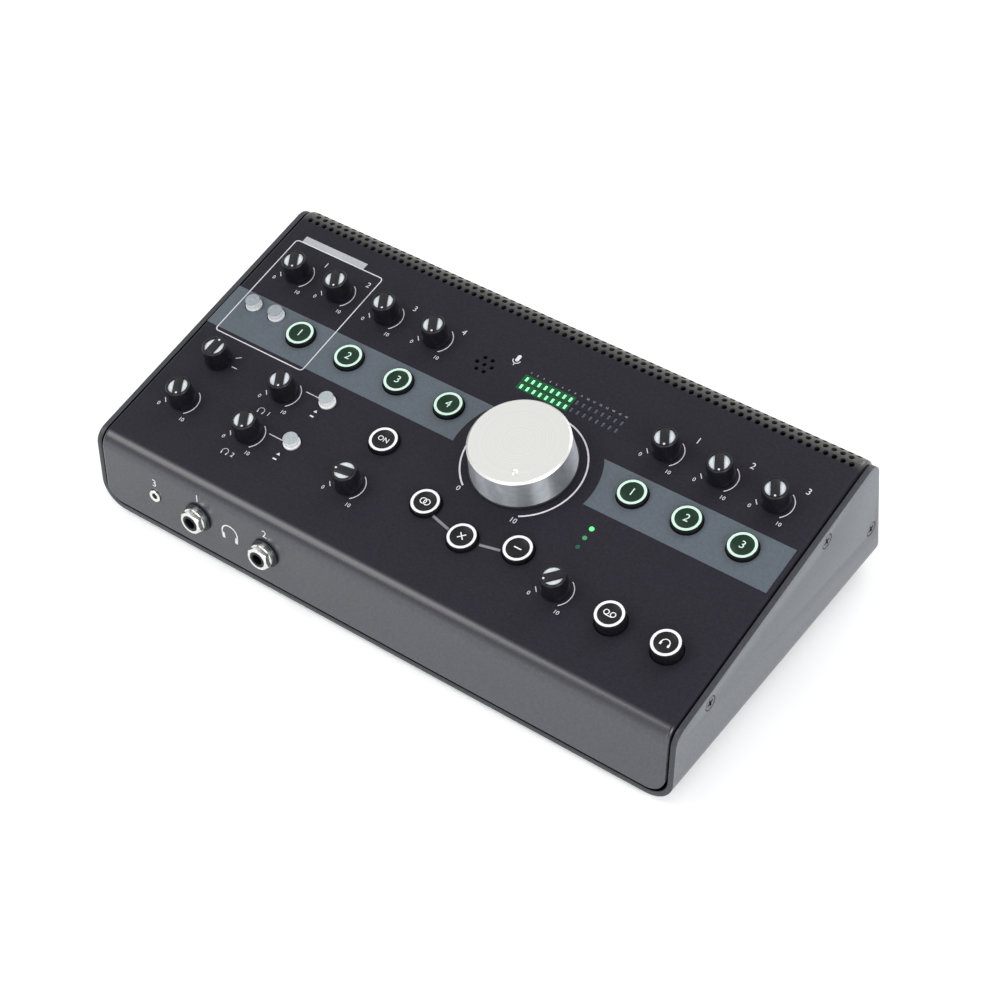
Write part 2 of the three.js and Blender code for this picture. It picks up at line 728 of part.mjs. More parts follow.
// Front sockets, with the nut and washer that clamp the larger ones.
function phonesJack() {
  const half = jackBodyWidth / 2;
  const back = -sheetThickness - seatGap;
  const body = block([-half, -half, back - jackBodyDepth], [half, half, back]);
  const bushing = rod(bushingRadius, back - cutOverrun, nutReach + seatGap, 12);
  return cut(join(body, bushing), rod(jackBore, back - jackBodyDepth + cutOverrun, nutReach + cutOverrun, 12));
}

function phonesNut() {
  const bore = (bushingRadius + seatGap) / Math.cos(Math.PI / 12);
  const collar = turned(
    [
      [bore, seatGap],
      [washerRadius, seatGap],
      [washerRadius, washerThickness],
      [collarRadius, washerThickness],
      [collarRadius, collarHeight],
      [bore, collarHeight],
      [bore, seatGap],
    ],
    12,
  );
  const hexagon = rod(nutCornerRadius, collarHeight - seatGap, nutReach, 6);
  return join(collar, hexagon.subtract(rod(bore, 0, nutReach + cutOverrun, 12)));
}

function smallJack() {
  const half = smallJackBodyWidth / 2;
  const back = -sheetThickness - seatGap;
  const body = block([-half, -half, back - smallJackDepth], [half, half, back]);
  const bushing = rod(smallJackRadius, back - cutOverrun, smallJackProud, 12);
  return cut(join(body, bushing), rod(smallJackBore, back - smallJackDepth + cutOverrun, cutOverrun, 8));
}

// Rear sockets on one upright board behind the rear face, with their nuts outside it.
function rearJackBoard() {
  const back = -sheetThickness - seatGap;
  const boardFront = back - rearJackDepth;
  const low = coverFloor - footHeight + bottomGap;
  const high = rearRowRise + rearJackRowGap + potWidth;
  const { left, right } = rearBoardShares;
  const slab = block([across(left), low, boardFront - boardThickness], [across(right), high, boardFront]);
  const half = across(rearJackPitchShare) / 2 - seatGap;
  const [firstX, firstY] = rearJackPlaces[0];
  const lastX = rearJackPlaces[rearJackColumns - 1][0];
  const bodies = [firstY, firstY + rearJackRowGap].map((y) =>
    block([firstX - half, y - half, boardFront], [lastX + half, y + half, back]),
  );
  const jacks = rearJackPlaces.flatMap(([x, y]) => [
    rod(bushingRadius, back, seatGap, 6, new THREE.Matrix4().makeTranslation(x, y, 0)),
    rod(nutCornerRadius, seatGap, rearNutReach, 6, new THREE.Matrix4().makeTranslation(x, y, 0)),
  ]);
  const bores = rearJackPlaces.map(([x, y]) => {
    const frame = new THREE.Matrix4().makeTranslation(x, y, 0);
    return rod(jackBore, boardFront + cutOverrun, rearNutReach + cutOverrun, 6, frame);
  });
  const switchX = across(powerButtonShare);
  const bodyHalf = powerButtonWidth / 2;
  const bodyTop = back - powerTravel - capDepth;
  const frame = new THREE.Matrix4().makeTranslation(switchX, rearRowRise, 0);
  const body = block(
    [switchX - bodyHalf, rearRowRise - bodyHalf, boardFront],
    [switchX + bodyHalf, rearRowRise + bodyHalf, bodyTop],
  );
  const plunger = drill(stemRadius + seatGap, bodyTop - powerTravel - 2 * cutOverrun, bodyTop + cutOverrun, 6, frame);
  const posts = [left, right].flatMap((share) =>
    [low, high].map((y, i) => {
      const x = across(share) - Math.sign(share) * postRadius;
      const middle = y + (i ? -postRadius : postRadius);
      return rod(postRadius, boardFront, back, 6, new THREE.Matrix4().makeTranslation(x, middle, 0));
    }),
  );
  return cut(join(slab, bodies, jacks, body, posts), bores, plunger);
}

// Combination socket: a round bore for a plug inside a round groove, with three contact holes.
function comboSocket() {
  const halfWidth = comboWidth / 2;
  const halfHeight = comboHeight / 2;
  const back = -sheetThickness - seatGap - rearJackDepth + seatGap;
  const flange = block([-halfWidth, -halfHeight, seatGap], [halfWidth, halfHeight, comboFlange]);
  const barrel = rod(comboRadius, back, comboFlange, 12);
  const groove = sleeve(comboGrooveOuter, comboGrooveInner, comboFlange - comboGrooveDepth, comboFlange + cutOverrun, 12);
  const bore = rod(jackBore, back + cutOverrun, comboFlange + cutOverrun, 8);
  const contactPlace = (jackBore + comboGrooveInner) / 2;
  const contacts = [0, 1, 2].map((i) => {
    const angle = (i * 2 * Math.PI) / 3 - Math.PI / 6;
    const [x, y] = [contactPlace * Math.cos(angle), contactPlace * Math.sin(angle)];
    const frame = new THREE.Matrix4().makeTranslation(x, y, 0);
    return rod(microphoneHoleRadius, comboFlange - comboGrooveDepth, comboFlange + cutOverrun, 4, frame);
  });
  return cut(join(flange, barrel), groove, bore, contacts);
}

function usbSocket() {
  const back = -sheetThickness - rearJackDepth;
  const frame = [-usbWidth / 2, -usbHeight / 2, usbWidth / 2, usbHeight / 2];
  const shell = block([frame[0], frame[1], back], [frame[2], frame[3], seatGap]);
  const mouth = block(
    [-usbMouthWidth / 2, -usbMouthHeight / 2, -usbMouthDepth],
    [usbMouthWidth / 2, usbMouthHeight / 2, cutOverrun],
  );
  const tongue = block(
    [-usbTongueWidth / 2, -usbTongueHeight / 2, -usbMouthDepth - cutOverrun],
    [usbTongueWidth / 2, usbTongueHeight / 2, -seatGap],
  );
  return join(cut(shell, mouth), tongue);
}

function powerInlet() {
  const back = -sheetThickness - rearJackDepth;
  const body = rod(inletRadius, back, seatGap, 12);
  const bore = rod(inletBore, -inletDepth, cutOverrun, 12);
  const pin = rod(inletPinRadius, -inletDepth - cutOverrun, -seatGap, 6);
  return join(cut(body, bore), pin);
}

function powerButton() {
  const half = powerButtonWidth / 2;
  const back = -sheetThickness - seatGap;
  const bodyTop = back - powerTravel - capDepth;
  const cap = block([-half, -half, back], [half, half, powerButtonReach]);
  return join(cap, rod(stemRadius, bodyTop - cutOverrun, back + cutOverrun, 6));
}

// Main board on posts above the floor.
function mainBoard() {
  const floor = footHeight + wallThickness;
  const low = floor + mainBoardRise;
  const high = low + boardThickness;
  const half = bodyWidth / 2 - mainBoardMargin;
  const front = -frontReach + jackBodyDepth;
  const rear = rearReach - rearJackDepth - mainBoardMargin;
  const slab = block([-half, front, low], [half, rear, high]);
  const posts = [-half, 0, half].flatMap((x) =>
    [front, rear].map((y) => {
      const inX = x - Math.sign(x) * postRadius;
      const inY = y - Math.sign(y) * postRadius;
      return rod(postRadius, floor + seatGap, high, 6, new THREE.Matrix4().makeTranslation(inX, inY, 0));
    }),
  );
  return join(slab, posts);
}

const foot = () => rod(footRadius, 0, footHeight - seatGap, 12);

// The model. A mesh keeps its own shape and is placed by its position, its turn and its group.
const group = new THREE.Group();
const body = new THREE.Group();
const panel = new THREE.Group();
const front = new THREE.Group();
const rear = new THREE.Group();
panel.applyMatrix4(panelFrame);
front.applyMatrix4(frontFrame);
rear.applyMatrix4(rearFrame);
body.add(panel, front, rear);
group.add(body);

function add(parent, name, shape, material, x = 0, y = 0, z = 0) {
  const mesh = new THREE.Mesh(geometryOf(shape), material);
  mesh.name = name;
  mesh.position.set(x, y, z);
  parent.add(mesh);
  return mesh;
}

add(body, "base_wrap", baseWrap(), greyPaint);
add(body, "top_cover", topCover(), darkPaint);
add(body, "main_board", mainBoard(), circuitBoard);
for (const [name, frame] of screws) add(body, name, screwShape(0, 0, frame), nickel);

const footX = bodyWidth / 2 - footInset;
const footPlaces = [["front", -frontReach + footInset], ["rear", rearReach - footInset]];
for (const [end, y] of footPlaces) {
  for (const [name, side] of sides) add(body, end + "_" + name + "_foot", foot(), rubber, side * footX, y);
}

for (const [name, x, y, turn] of knobs) {
  add(panel, name, smallKnob(), blackPlastic, x, y).rotation.z = -degrees(turn);
}
add(panel, "volume_knob", volumeKnob(), aluminium, volumeX).rotation.z = -degrees(dialEnd);
for (const [name, x, y, height] of buttons) add(panel, name, pushButton(height), litPlastic, x, y);
for (const [name, x, y] of switches) add(panel, name, pushSwitch(), palePlastic, x, y);
add(panel, "control_board", controlBoard(), circuitBoard);
add(panel, "volume_control", volumeControl(), blackSteel, volumeX);
add(panel, "level_meter", levelMeter(), litPlastic);
add(panel, "talkback_microphone", microphone(), blackSteel, ...microphonePlace);

frontJackShares.forEach((share, i) => {
  add(front, "phones_" + (i + 1) + "_jack", phonesJack(), blackPlastic, across(share), jackRise);
  add(front, "phones_" + (i + 1) + "_nut", phonesNut(), nickel, across(share), jackRise);
});
add(front, "small_phones_jack", smallJack(), palePlastic, across(smallJackShare), smallJackRise);

add(rear, "rear_jack_board", rearJackBoard(), blackPlastic);
comboShares.forEach((share, i) => {
  add(rear, "combo_socket_" + (i + 1), comboSocket(), blackPlastic, across(share), rearMiddleRise);
});
add(rear, "usb_socket", usbSocket(), nickel, across(usbShare), rearRowRise);
add(rear, "power_inlet", powerInlet(), blackPlastic, across(inletShare), rearRowRise);
add(rear, "power_button", powerButton(), blackPlastic, across(powerButtonShare), rearRowRise);

// The middle of the whole object goes to the origin.
const bounds = new THREE.Box3().setFromObject(group, true);
body.position.y = -(bounds.min.y + bounds.max.y) / 2;

export default group;
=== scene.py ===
"""Studio monitor controller: the finishes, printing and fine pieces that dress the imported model."""

import json
import math

import bpy
from bpy.props import FloatProperty, IntProperty, StringProperty
from mathutils import Matrix, Vector

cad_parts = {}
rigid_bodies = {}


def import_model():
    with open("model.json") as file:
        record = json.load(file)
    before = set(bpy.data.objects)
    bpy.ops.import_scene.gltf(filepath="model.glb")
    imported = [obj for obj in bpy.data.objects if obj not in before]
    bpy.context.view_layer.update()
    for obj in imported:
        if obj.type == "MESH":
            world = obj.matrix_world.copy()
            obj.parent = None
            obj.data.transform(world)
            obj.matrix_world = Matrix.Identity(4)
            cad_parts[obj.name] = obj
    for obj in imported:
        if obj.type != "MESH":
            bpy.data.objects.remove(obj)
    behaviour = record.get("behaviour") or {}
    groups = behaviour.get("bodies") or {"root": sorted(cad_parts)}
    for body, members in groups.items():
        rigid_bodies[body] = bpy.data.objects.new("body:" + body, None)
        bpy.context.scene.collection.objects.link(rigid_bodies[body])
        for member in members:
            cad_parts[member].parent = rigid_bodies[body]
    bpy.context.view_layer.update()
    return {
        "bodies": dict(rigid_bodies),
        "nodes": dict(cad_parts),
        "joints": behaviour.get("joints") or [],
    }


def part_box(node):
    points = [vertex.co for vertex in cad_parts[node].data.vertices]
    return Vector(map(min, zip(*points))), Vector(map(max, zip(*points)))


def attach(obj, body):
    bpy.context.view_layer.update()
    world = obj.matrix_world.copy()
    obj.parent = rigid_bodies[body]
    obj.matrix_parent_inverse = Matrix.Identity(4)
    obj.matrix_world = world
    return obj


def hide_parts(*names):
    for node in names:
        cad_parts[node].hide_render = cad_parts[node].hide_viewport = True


bl_info = {
    "name": "Studio Monitor Controller",
    "version": (1, 0, 0),
    "blender": (4, 5, 0),
    "location": "View3D > Sidebar > Controller",
    "description": "Dresses the packed monitor controller with its finishes, printing, knobs and sockets",
    "category": "Object",
}

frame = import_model()

MM = 0.001
HOUSING = "housing"

# The body's sizes in mm and its slopes in degrees. The front and the rear are measured from the volume knob's
# axis, and the panel's height at that axis from the floor.
FRONT_REACH = 98.4
REAR_REACH = 103.6
PANEL_HEIGHT = 70.9
FOOT_HEIGHT = 4.0
HALF_WIDTH = 185.0
FRONT_LEAN = 3.5
REAR_LEAN = 8.7
PANEL_SLOPE = 11.0
WRAP_BEND = 15.0
# The thickness of the cover and of the wrap, and the gap between the wrap's sides and the cover.
SHEET = 1.6
WALL = 3.2
GAP = 0.9
# How far a shape runs where another one cuts it back to the body.
OVERRUN = 150.0

# The panel's own frame: X runs across, Y up the slope and Z out of it, from a point on the line of the
# volume knob's axis. The front and rear faces have frames of their own, measured from the underside.
VOLUME_JOINT = next(joint for joint in frame["joints"] if joint["name"] == "volume_turn")
VOLUME_AXIS = Vector(VOLUME_JOINT["axis"])
VOLUME_PLACE = Vector(VOLUME_JOINT["pos_m"])
VOLUME_X = VOLUME_PLACE.x / MM
PANEL_TILT = math.atan2(-VOLUME_AXIS.y, VOLUME_AXIS.z)
PANEL = Matrix.Translation((0, VOLUME_PLACE.y, VOLUME_PLACE.z)) @ Matrix.Rotation(PANEL_TILT, 4, "X")
FRONT = Matrix.Translation((0, VOLUME_PLACE.y - FRONT_REACH * MM, FOOT_HEIGHT * MM)) @ Matrix.Rotation(
    math.radians(90 - FRONT_LEAN), 4, "X"
)
REAR = (
    Matrix.Translation((0, VOLUME_PLACE.y + REAR_REACH * MM, FOOT_HEIGHT * MM))
    @ Matrix.Rotation(math.radians(REAR_LEAN - 90), 4, "X")
    @ Matrix.Rotation(math.pi, 4, "Z")
)

# The side outline as three lines in (y, z) mm from the volume knob's axis, each by a point and its rise in
# degrees, and the radius of the bend after each of the first two. Their inner side is on the right.
SIDE_LINES = (
    ((-FRONT_REACH, FOOT_HEIGHT), 90 - FRONT_LEAN),
    ((0.0, PANEL_HEIGHT), PANEL_SLOPE),
    ((REAR_REACH, FOOT_HEIGHT), REAR_LEAN - 90),
)
BEND_RADII = (10.5, 10.4)

# Knobs by node: place on the panel, and the clockwise turn of the pointer from straight up.
KNOBS = {
    "preamp_1_gain_knob": (-156.0, 45.2, 150),
    "preamp_2_gain_knob": (-126.8, 45.2, 150),
    "line_2_trim_knob": (-93.2, 45.2, 150),
    "line_3_trim_knob": (-59.6, 45.2, 150),
    "output_1_trim_knob": (89.7, 42.3, 150),
    "output_2_trim_knob": (122.2, 42.3, 150),
    "output_3_trim_knob": (154.7, 42.3, 150),
    "cue_source_knob": (-156.0, -24.9, 0),
    "direct_mix_knob": (-156.0, -55.9, 150),
    "phones_1_level_knob": (-110.0, -24.9, 150),
    "phones_2_level_knob": (-110.0, -55.9, 150),
    "studio_level_knob": (-42.2, -55.9, -99),
    "talkback_level_knob": (88.4, -55.9, -137),
}

# Buttons by node: the mark on the cap, and whether it is lit green.
BUTTONS = {
    "source_1_button": ("1", True),
    "source_2_button": ("2", True),
    "source_3_button": ("3", True),
    "source_4_button": ("4", True),
    "output_1_button": ("1", True),
    "output_2_button": ("2", True),
    "output_3_button": ("3", True),
    "studio_on_button": ("ON", False),
    "mono_button": ("rings", False),
    "mute_button": ("cross", False),
    "dim_button": ("bar", False),
    "talk_to_recorder_button": ("reels", False),
    "talk_to_cue_button": ("arch", False),
}
SWITCHES = ("preamp_1_switch", "preamp_2_switch", "phones_1_switch", "phones_2_switch")
LAMPS = [(83.3, -16.7), (83.3, -23.0), (83.3, -29.3)]

# The meter's two rows of windows, and the printed band on both sides of the volume knob.
METER_START = (-0.5, 46.2)
METER_PITCH = (4.0, 5.3)
METER_WINDOW = (2.0, 3.4)
METER_COLUMNS = 16
METER_LIT = 8
BAND_EDGES = (-6.2, 22.7)
BAND_ENDS = (-180.3, 178.4)
BAND_BOW = 41.5

# Holes by their radius, and sockets by their height up the front or the rear face.
BUTTON_HOLE = 8.7
SWITCH_HOLE = 5.2
PHONES_HEIGHT = 27.0
SMALL_SOCKET_HEIGHT = 25.5
REAR_ROW = 24.0
JACK_START = -74.0
JACK_PITCH = (19.98, 26.0)
JACK_COLUMNS = 7
NUT_FLATS = 12.7

# Thickness of the ink, and width of a fine printed line.
INK = 0.02
LINE = 0.5


def meter_places():
    x, y = METER_START
    across, down = METER_PITCH
    return [(x + across * column, y - down * row) for row in (0, 1) for column in range(METER_COLUMNS)]


def rear_jack_places():
    across, up = JACK_PITCH
    xs = [JACK_START + across * column for column in range(JACK_COLUMNS)]
    return [(x, REAR_ROW + up * row) for row in (0, 1) for x in xs]


def screw_places():
    """Each side screw's node, and the place of its head on the wrap's outer face, with Z pointing out."""
    places = []
    for side, sign in (("right", 1), ("left", -1)):
        for number in (1, 2, 3):
            node = f"{side}_side_screw_{number}"
            low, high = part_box(node)
            place = Matrix.Translation((sign * HALF_WIDTH * MM, (low.y + high.y) / 2, (low.z + high.z) / 2))
            places.append((node, place @ Matrix.Rotation(sign * math.pi / 2, 4, "Y")))
    return places


def sizes():
    return bpy.context.scene.controller_sizes


def colours():
    return bpy.context.scene.controller_colours


# Small tools for selecting, placing and finishing a piece


def deselect():
    """Leave edit mode and clear the selection, so that the next operator acts on its own piece only."""
    if bpy.context.object and bpy.context.object.mode != "OBJECT":
        bpy.ops.object.mode_set(mode="OBJECT")
    bpy.ops.object.select_all(action="DESELECT")


def activate(piece):
    """Select one piece alone and make it the active one."""
    deselect()
    piece.select_set(True)
    bpy.context.view_layer.objects.active = piece


def edit_all(piece):
    """Enter edit mode on a piece, with all of its mesh selected."""
    activate(piece)
    bpy.ops.object.mode_set(mode="EDIT")
    bpy.ops.mesh.select_all(action="SELECT")


def tidy_faces(piece, sharp=35):
    """Merge doubled corners, turn the faces outwards and shade the round ones smooth."""
    edit_all(piece)
    bpy.ops.mesh.remove_doubles(threshold=0.002 * MM)
    bpy.ops.mesh.normals_make_consistent(inside=False)
    bpy.ops.object.mode_set(mode="OBJECT")
    bpy.ops.object.shade_smooth_by_angle(angle=math.radians(sharp))


def whole_faces(piece, merge=0.002, flat_angle=0.3):
    """Merge doubled corners and make each flat face one polygon, so that a bevel runs evenly round it."""
    edit_all(piece)
    bpy.ops.mesh.remove_doubles(threshold=merge * MM)
    bpy.ops.mesh.dissolve_limited(angle_limit=math.radians(flat_angle))
    bpy.ops.object.mode_set(mode="OBJECT")


def bake_place():
    """Take the active piece's place, turn and scale into its mesh."""
    bpy.ops.object.transform_apply(location=True, rotation=True, scale=True)


def settle(piece, place):
    """Put a piece that was made at the origin in its place, and bake the place into its mesh."""
    activate(piece)
    piece.matrix_world = place @ piece.matrix_world
    bake_place()


def apply_modifier(piece, kind, **settings):
    activate(piece)
    modifier = piece.modifiers.new(kind.title(), kind)
    for key, value in settings.items():
        setattr(modifier, key, value)
    bpy.ops.object.modifier_apply(modifier=modifier.name)


def cut_away(piece, cutter, operation="DIFFERENCE"):
    """Subtract a cutter from a piece and throw the cutter away."""
    apply_modifier(piece, "BOOLEAN", operation=operation, solver="EXACT", object=cutter)
    bpy.data.objects.remove(cutter)


def keep_common(piece, other):
    """Keep only what a piece shares with another one, which is thrown away."""
    cut_away(piece, other, "INTERSECT")


def round_edges(piece, radius, segments, sharp):
    """Bevel the edges whose faces meet at more than an angle."""
    apply_modifier(
        piece,
        "BEVEL",
        width=radius * MM,
        segments=segments,
        limit_method="ANGLE",
        angle_limit=math.radians(sharp),
    )


def merged(pieces, name):
    """Join pieces into one under a name; each keeps its own finishes."""
    deselect()
    for piece in pieces:
        piece.select_set(True)
    bpy.context.view_layer.objects.active = pieces[0]
    if len(pieces) > 1:
        bpy.ops.object.join()
    whole = bpy.context.object
    whole.name = name
    return whole


def twin(piece, name):
    """A copy of a piece with a mesh of its own."""
    copy = piece.copy()
    copy.data = piece.data.copy()
    copy.name = name
    bpy.context.scene.collection.objects.link(copy)
    return copy


def copies(first, places):
    """A copy of a piece at each place, without the first one, which is thrown away."""
    pieces = []
    for place in places:
        piece = twin(first, first.name)
        settle(piece, place)
        pieces.append(piece)
    bpy.data.objects.remove(first)
    return pieces


def turned(name, profile, sides=64):
    """Start from a filled circle and extrude it through each radius and height of a profile in mm."""
    deselect()
    radius, height = profile[0]
    bpy.ops.mesh.primitive_circle_add(
        vertices=sides, radius=radius * MM, fill_type="NGON", location=(0, 0, height * MM)
    )
    piece = bpy.context.object
    piece.name = name
    bake_place()
    edit_all(piece)
    for next_radius, next_height in profile[1:]:
        step = (0, 0, (next_height - height) * MM)
        bpy.ops.mesh.extrude_region_move(TRANSFORM_OT_translate={"value": step})
        share = next_radius / radius
        bpy.ops.transform.resize(value=(share, share, 1), center_override=(0, 0, next_height * MM))
        radius, height = next_radius, next_height
    tidy_faces(piece)
    return piece


def ring(name, inner, outer, low, high, sides=64):
    """A flat ring with a rounded outer edge: a disc with its middle cut out."""
    edge = min(0.3, (high - low) / 3)
    disc = turned(name, [(outer, low), (outer, high - edge), (outer - edge, high)], sides)
    cut_away(disc, turned("ring_cutter", [(inner, low - 1), (inner, high + 1)], sides))
    tidy_faces(disc)
    return disc


def slab(name, size, middle, bevel=0.0, segments=3):
    """A block by its size and middle in mm, with its edges rounded by a bevel."""
    deselect()
    bpy.ops.mesh.primitive_cube_add(size=1, location=[value * MM for value in middle])
    piece = bpy.context.object
    piece.name = name
    piece.scale = [value * MM for value in size]
    bake_place()
    if bevel:
        apply_modifier(piece, "BEVEL", width=bevel * MM, segments=segments, limit_method="NONE")
    tidy_faces(piece)
    return piece


def hexagon_nut(name, low, high, bore, sides):
    """A nut as turned from hexagon bar: its outer corners chamfered by a cone, and a round bore."""
    corner = NUT_FLATS / math.sqrt(3)
    piece = turned(name, [(corner, low), (corner, high)], 6)
    wide = corner * 1.02
    keep_common(piece, turned("nut_cone", [(wide, low), (wide, high - 1.2), (NUT_FLATS / 2 - 0.2, high)], 48))
    tidy_faces(piece)
    cut_away(piece, turned("nut_bore", [(bore, low - 1), (bore, high + 1)], sides))
    tidy_faces(piece)
    paint(piece, FINISHES["nickel"])
    return piece


def shifted_line(line, inset):
    """A point and the direction of a line of the side outline, once it is moved in."""
    (y, z), rise = line
    turn = math.radians(rise)
    return (y + math.sin(turn) * inset, z - math.cos(turn) * inset), (math.cos(turn), math.sin(turn))


def crossing(first, second, inset):
    """Where two lines of the side outline meet, once both are moved in."""
    (ay, az), (uy, uz) = shifted_line(first, inset)
    (by, bz), (vy, vz) = shifted_line(second, inset)
    along = ((by - ay) * vz - (bz - az) * vy) / (uy * vz - uz * vy)
    return ay + uy * along, az + uz * along


def at_height(line, inset, height):
    """Where a line of the side outline, moved in, reaches a height."""
    (y, z), (uy, uz) = shifted_line(line, inset)
    return y + uy * (height - z) / uz, height


def side_loop(inset, floor, steps=16):
    """The side outline with round bends, moved in by an inset and closed along a floor."""
    points = [at_height(SIDE_LINES[0], inset, floor)]
    for first, second, radius in zip(SIDE_LINES, SIDE_LINES[1:], BEND_RADII):
        inner = max(radius - inset, 0.5)
        middle_y, middle_z = crossing(first, second, inset + inner)
        for i in range(steps + 1):
            turn = math.radians(first[1] + 90 + (second[1] - first[1]) * i / steps)
            points.append((middle_y + inner * math.cos(turn), middle_z + inner * math.sin(turn)))
    return points + [at_height(SIDE_LINES[2], inset, floor)]


def cradle(half, floor, top, radius, steps=16):
    """A U in (x, z) with round lower corners, from its upper left end to its upper right end."""
    points = [(-half, top)]
    for side in (-1, 1):
        for i in range(steps + 1)[::side]:
            turn = math.radians(90 * i / steps)
            x = half - radius + radius * math.sin(turn)
            points.append((side * x, floor + radius * (1 - math.cos(turn))))
    return points + [(half, top)]


def prism_across(name, loop, half):
    """A loop in (y, z), run across the body to both sides of its middle."""
    piece = outline_piece(name, [loop], 2 * half)
    turn = Matrix(((0, 0, 1, 0), (1, 0, 0, VOLUME_PLACE.y), (0, 1, 0, 0), (0, 0, 0, 1)))
    settle(piece, turn)
    whole_faces(piece)
    return piece


def prism_back(name, loop, half):
    """A loop in (x, z), run along the body's depth to both sides of the volume knob's axis."""
    piece = outline_piece(name, [loop], 2 * half)
    settle(piece, Matrix.Translation((0, VOLUME_PLACE.y, 0)) @ Matrix.Rotation(math.pi / 2, 4, "X"))
    whole_faces(piece)
    return piece


def holes(face, places, radius, sides=32):
    """Cutters for round holes through a face of the cover."""
    return copies(turned("hole", [(radius, -5), (radius, 3)], sides), [at(face, x, y) for x, y in places])


def window(face, x, y, width, length):
    """A cutter for a square-cornered hole through a face of the cover."""
    cutter = slab("window", (width, length, 8), (0, 0, -1))
    settle(cutter, at(face, x, y))
    return cutter


def middle_of(node, face=PANEL):
    """The middle of a node's box in mm, in a face's frame."""
    low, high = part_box(node)
    middle = face.inverted() @ ((low + high) / 2)
    return middle.x / MM, middle.y / MM


def on_rear_row(node):
    """A node's place across the rear face, at the height of its lower row of sockets."""
    return middle_of(node, REAR)[0], REAR_ROW


def dressed_copy(node, name, bevel=0.0):
    """A merged copy of a CAD node, with its flat faces whole again and its edges rounded."""
    piece = bpy.data.objects.new(name, frame["nodes"][node].data.copy())
    bpy.context.scene.collection.objects.link(piece)
    whole_faces(piece, 0.005, 0.4)
    if bevel:
        round_edges(piece, bevel, 3, 40)
    bpy.ops.object.shade_smooth_by_angle(angle=math.radians(35))
    return piece


def paint(piece, *finishes):
    piece.data.materials.clear()
    for finish in finishes:
        piece.data.materials.append(finish)


def paint_faces(piece, slot, test):
    """Give a slot to each face whose middle, in the piece's own mm, passes a test."""
    for face in piece.data.polygons:
        if test(face.center / MM, face.normal):
            face.material_index = slot


def body_of(node):
    return node + "_body" if node + "_body" in frame["bodies"] else HOUSING


def stand_for(piece, node):
    """A piece rides where its CAD node rides, and is shown in place of it."""
    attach(piece, body_of(node))
    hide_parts(node)


def at(frame_matrix, x, y, z=0.0, turn=0.0):
    """A place in a face's frame, in mm, turned anticlockwise by degrees about its normal."""
    place = Matrix.Translation((x * MM, y * MM, z * MM))
    return frame_matrix @ place @ Matrix.Rotation(math.radians(turn), 4, "Z")


# Colours and finishes


def linear(text):
    """An sRGB hex colour as linear red, green, blue and alpha."""
    channels = [int(text[i : i + 2], 16) / 255 for i in (1, 3, 5)]
    return [c / 12.92 if c <= 0.04045 else ((c + 0.055) / 1.055) ** 2.4 for c in channels] + [1.0]


def add_node(tree, kind, inputs=None, **settings):
    """Add a node with its settings; an input takes a value, or another node's output as its link."""
    node = tree.nodes.new(kind)
    for key, value in settings.items():
        setattr(node, key, value)
    for key, value in (inputs or {}).items():
        if isinstance(value, bpy.types.NodeSocket):
            tree.links.new(value, node.inputs[key])
        else:
            node.inputs[key].default_value = value
    return node


def blank_finish(name, **values):
    """A new material with its Principled shader, whose plain values are set on its own sockets."""
    finish = bpy.data.materials.new(name)
    finish.use_nodes = True
    shader = finish.node_tree.nodes["Principled BSDF"]
    for key, value in values.items():
        shader.inputs[key.replace("_", " ")].default_value = value
    return finish, finish.node_tree, shader


def wire(tree, shader, socket, output):
    tree.links.new(output, shader.inputs[socket])


def object_coordinates(tree):
    return add_node(tree, "ShaderNodeTexCoord").outputs["Object"]


def axes_from(tree, place):
    """The pattern's X, Y and Z along the panel's own directions, measured from a place."""
    mapping = add_node(
        tree,
        "ShaderNodeMapping",
        {"Vector": object_coordinates(tree), "Location": place, "Rotation": (PANEL_TILT, 0, 0)},
        vector_type="TEXTURE",
    )
    return add_node(tree, "ShaderNodeSeparateXYZ", {"Vector": mapping.outputs["Vector"]}).outputs


def grain(tree, size_mm, detail):
    """Noise whose lumps are about this wide."""
    noise = add_node(
        tree,
        "ShaderNodeTexNoise",
        {"Vector": object_coordinates(tree), "Scale": 1 / (size_mm * MM), "Detail": detail},
    )
    return noise.outputs["Fac"]


def shade(tree, pattern, dark, light):
    """A pattern's hollows in a dark colour that runs to a light one on its heights."""
    node = add_node(tree, "ShaderNodeValToRGB", {"Fac": pattern})
    for element, position, colour in zip(node.color_ramp.elements, (0.3, 0.7), (dark, light)):
        element.position = position
        element.color = linear(colour)
    return node.outputs["Color"]


def relief(tree, shader, pattern, depth_mm, strength):
    """Raise the surface by a pattern."""
    node = add_node(
        tree, "ShaderNodeBump", {"Height": pattern, "Distance": depth_mm * MM, "Strength": strength}
    )
    wire(tree, shader, "Normal", node.outputs["Normal"])


def roughen(tree, shader, pattern, low, high):
    """Let a pattern vary the roughness between two values."""
    spread = add_node(tree, "ShaderNodeMapRange", {"Value": pattern, "To Min": low, "To Max": high})
    wire(tree, shader, "Roughness", spread.outputs["Result"])


def step(tree, value, low, high):
    """0 below one size, 1 above another, both in mm of the value's axis."""
    inputs = {"Value": value, "From Min": low * MM, "From Max": high * MM, "To Min": 0.0, "To Max": 1.0}
    return add_node(tree, "ShaderNodeMapRange", inputs).outputs["Result"]


def seen_rays(tree):
    """1 for the rays that are looked along: from the camera, in a reflection or through something clear."""
    path = add_node(tree, "ShaderNodeLightPath").outputs
    seen = path["Is Camera Ray"]
    for kind in ("Is Glossy Ray", "Is Transmission Ray"):
        larger = add_node(tree, "ShaderNodeMath", {0: seen, 1: path[kind]}, operation="MAXIMUM")
        seen = larger.outputs["Value"]
    return seen


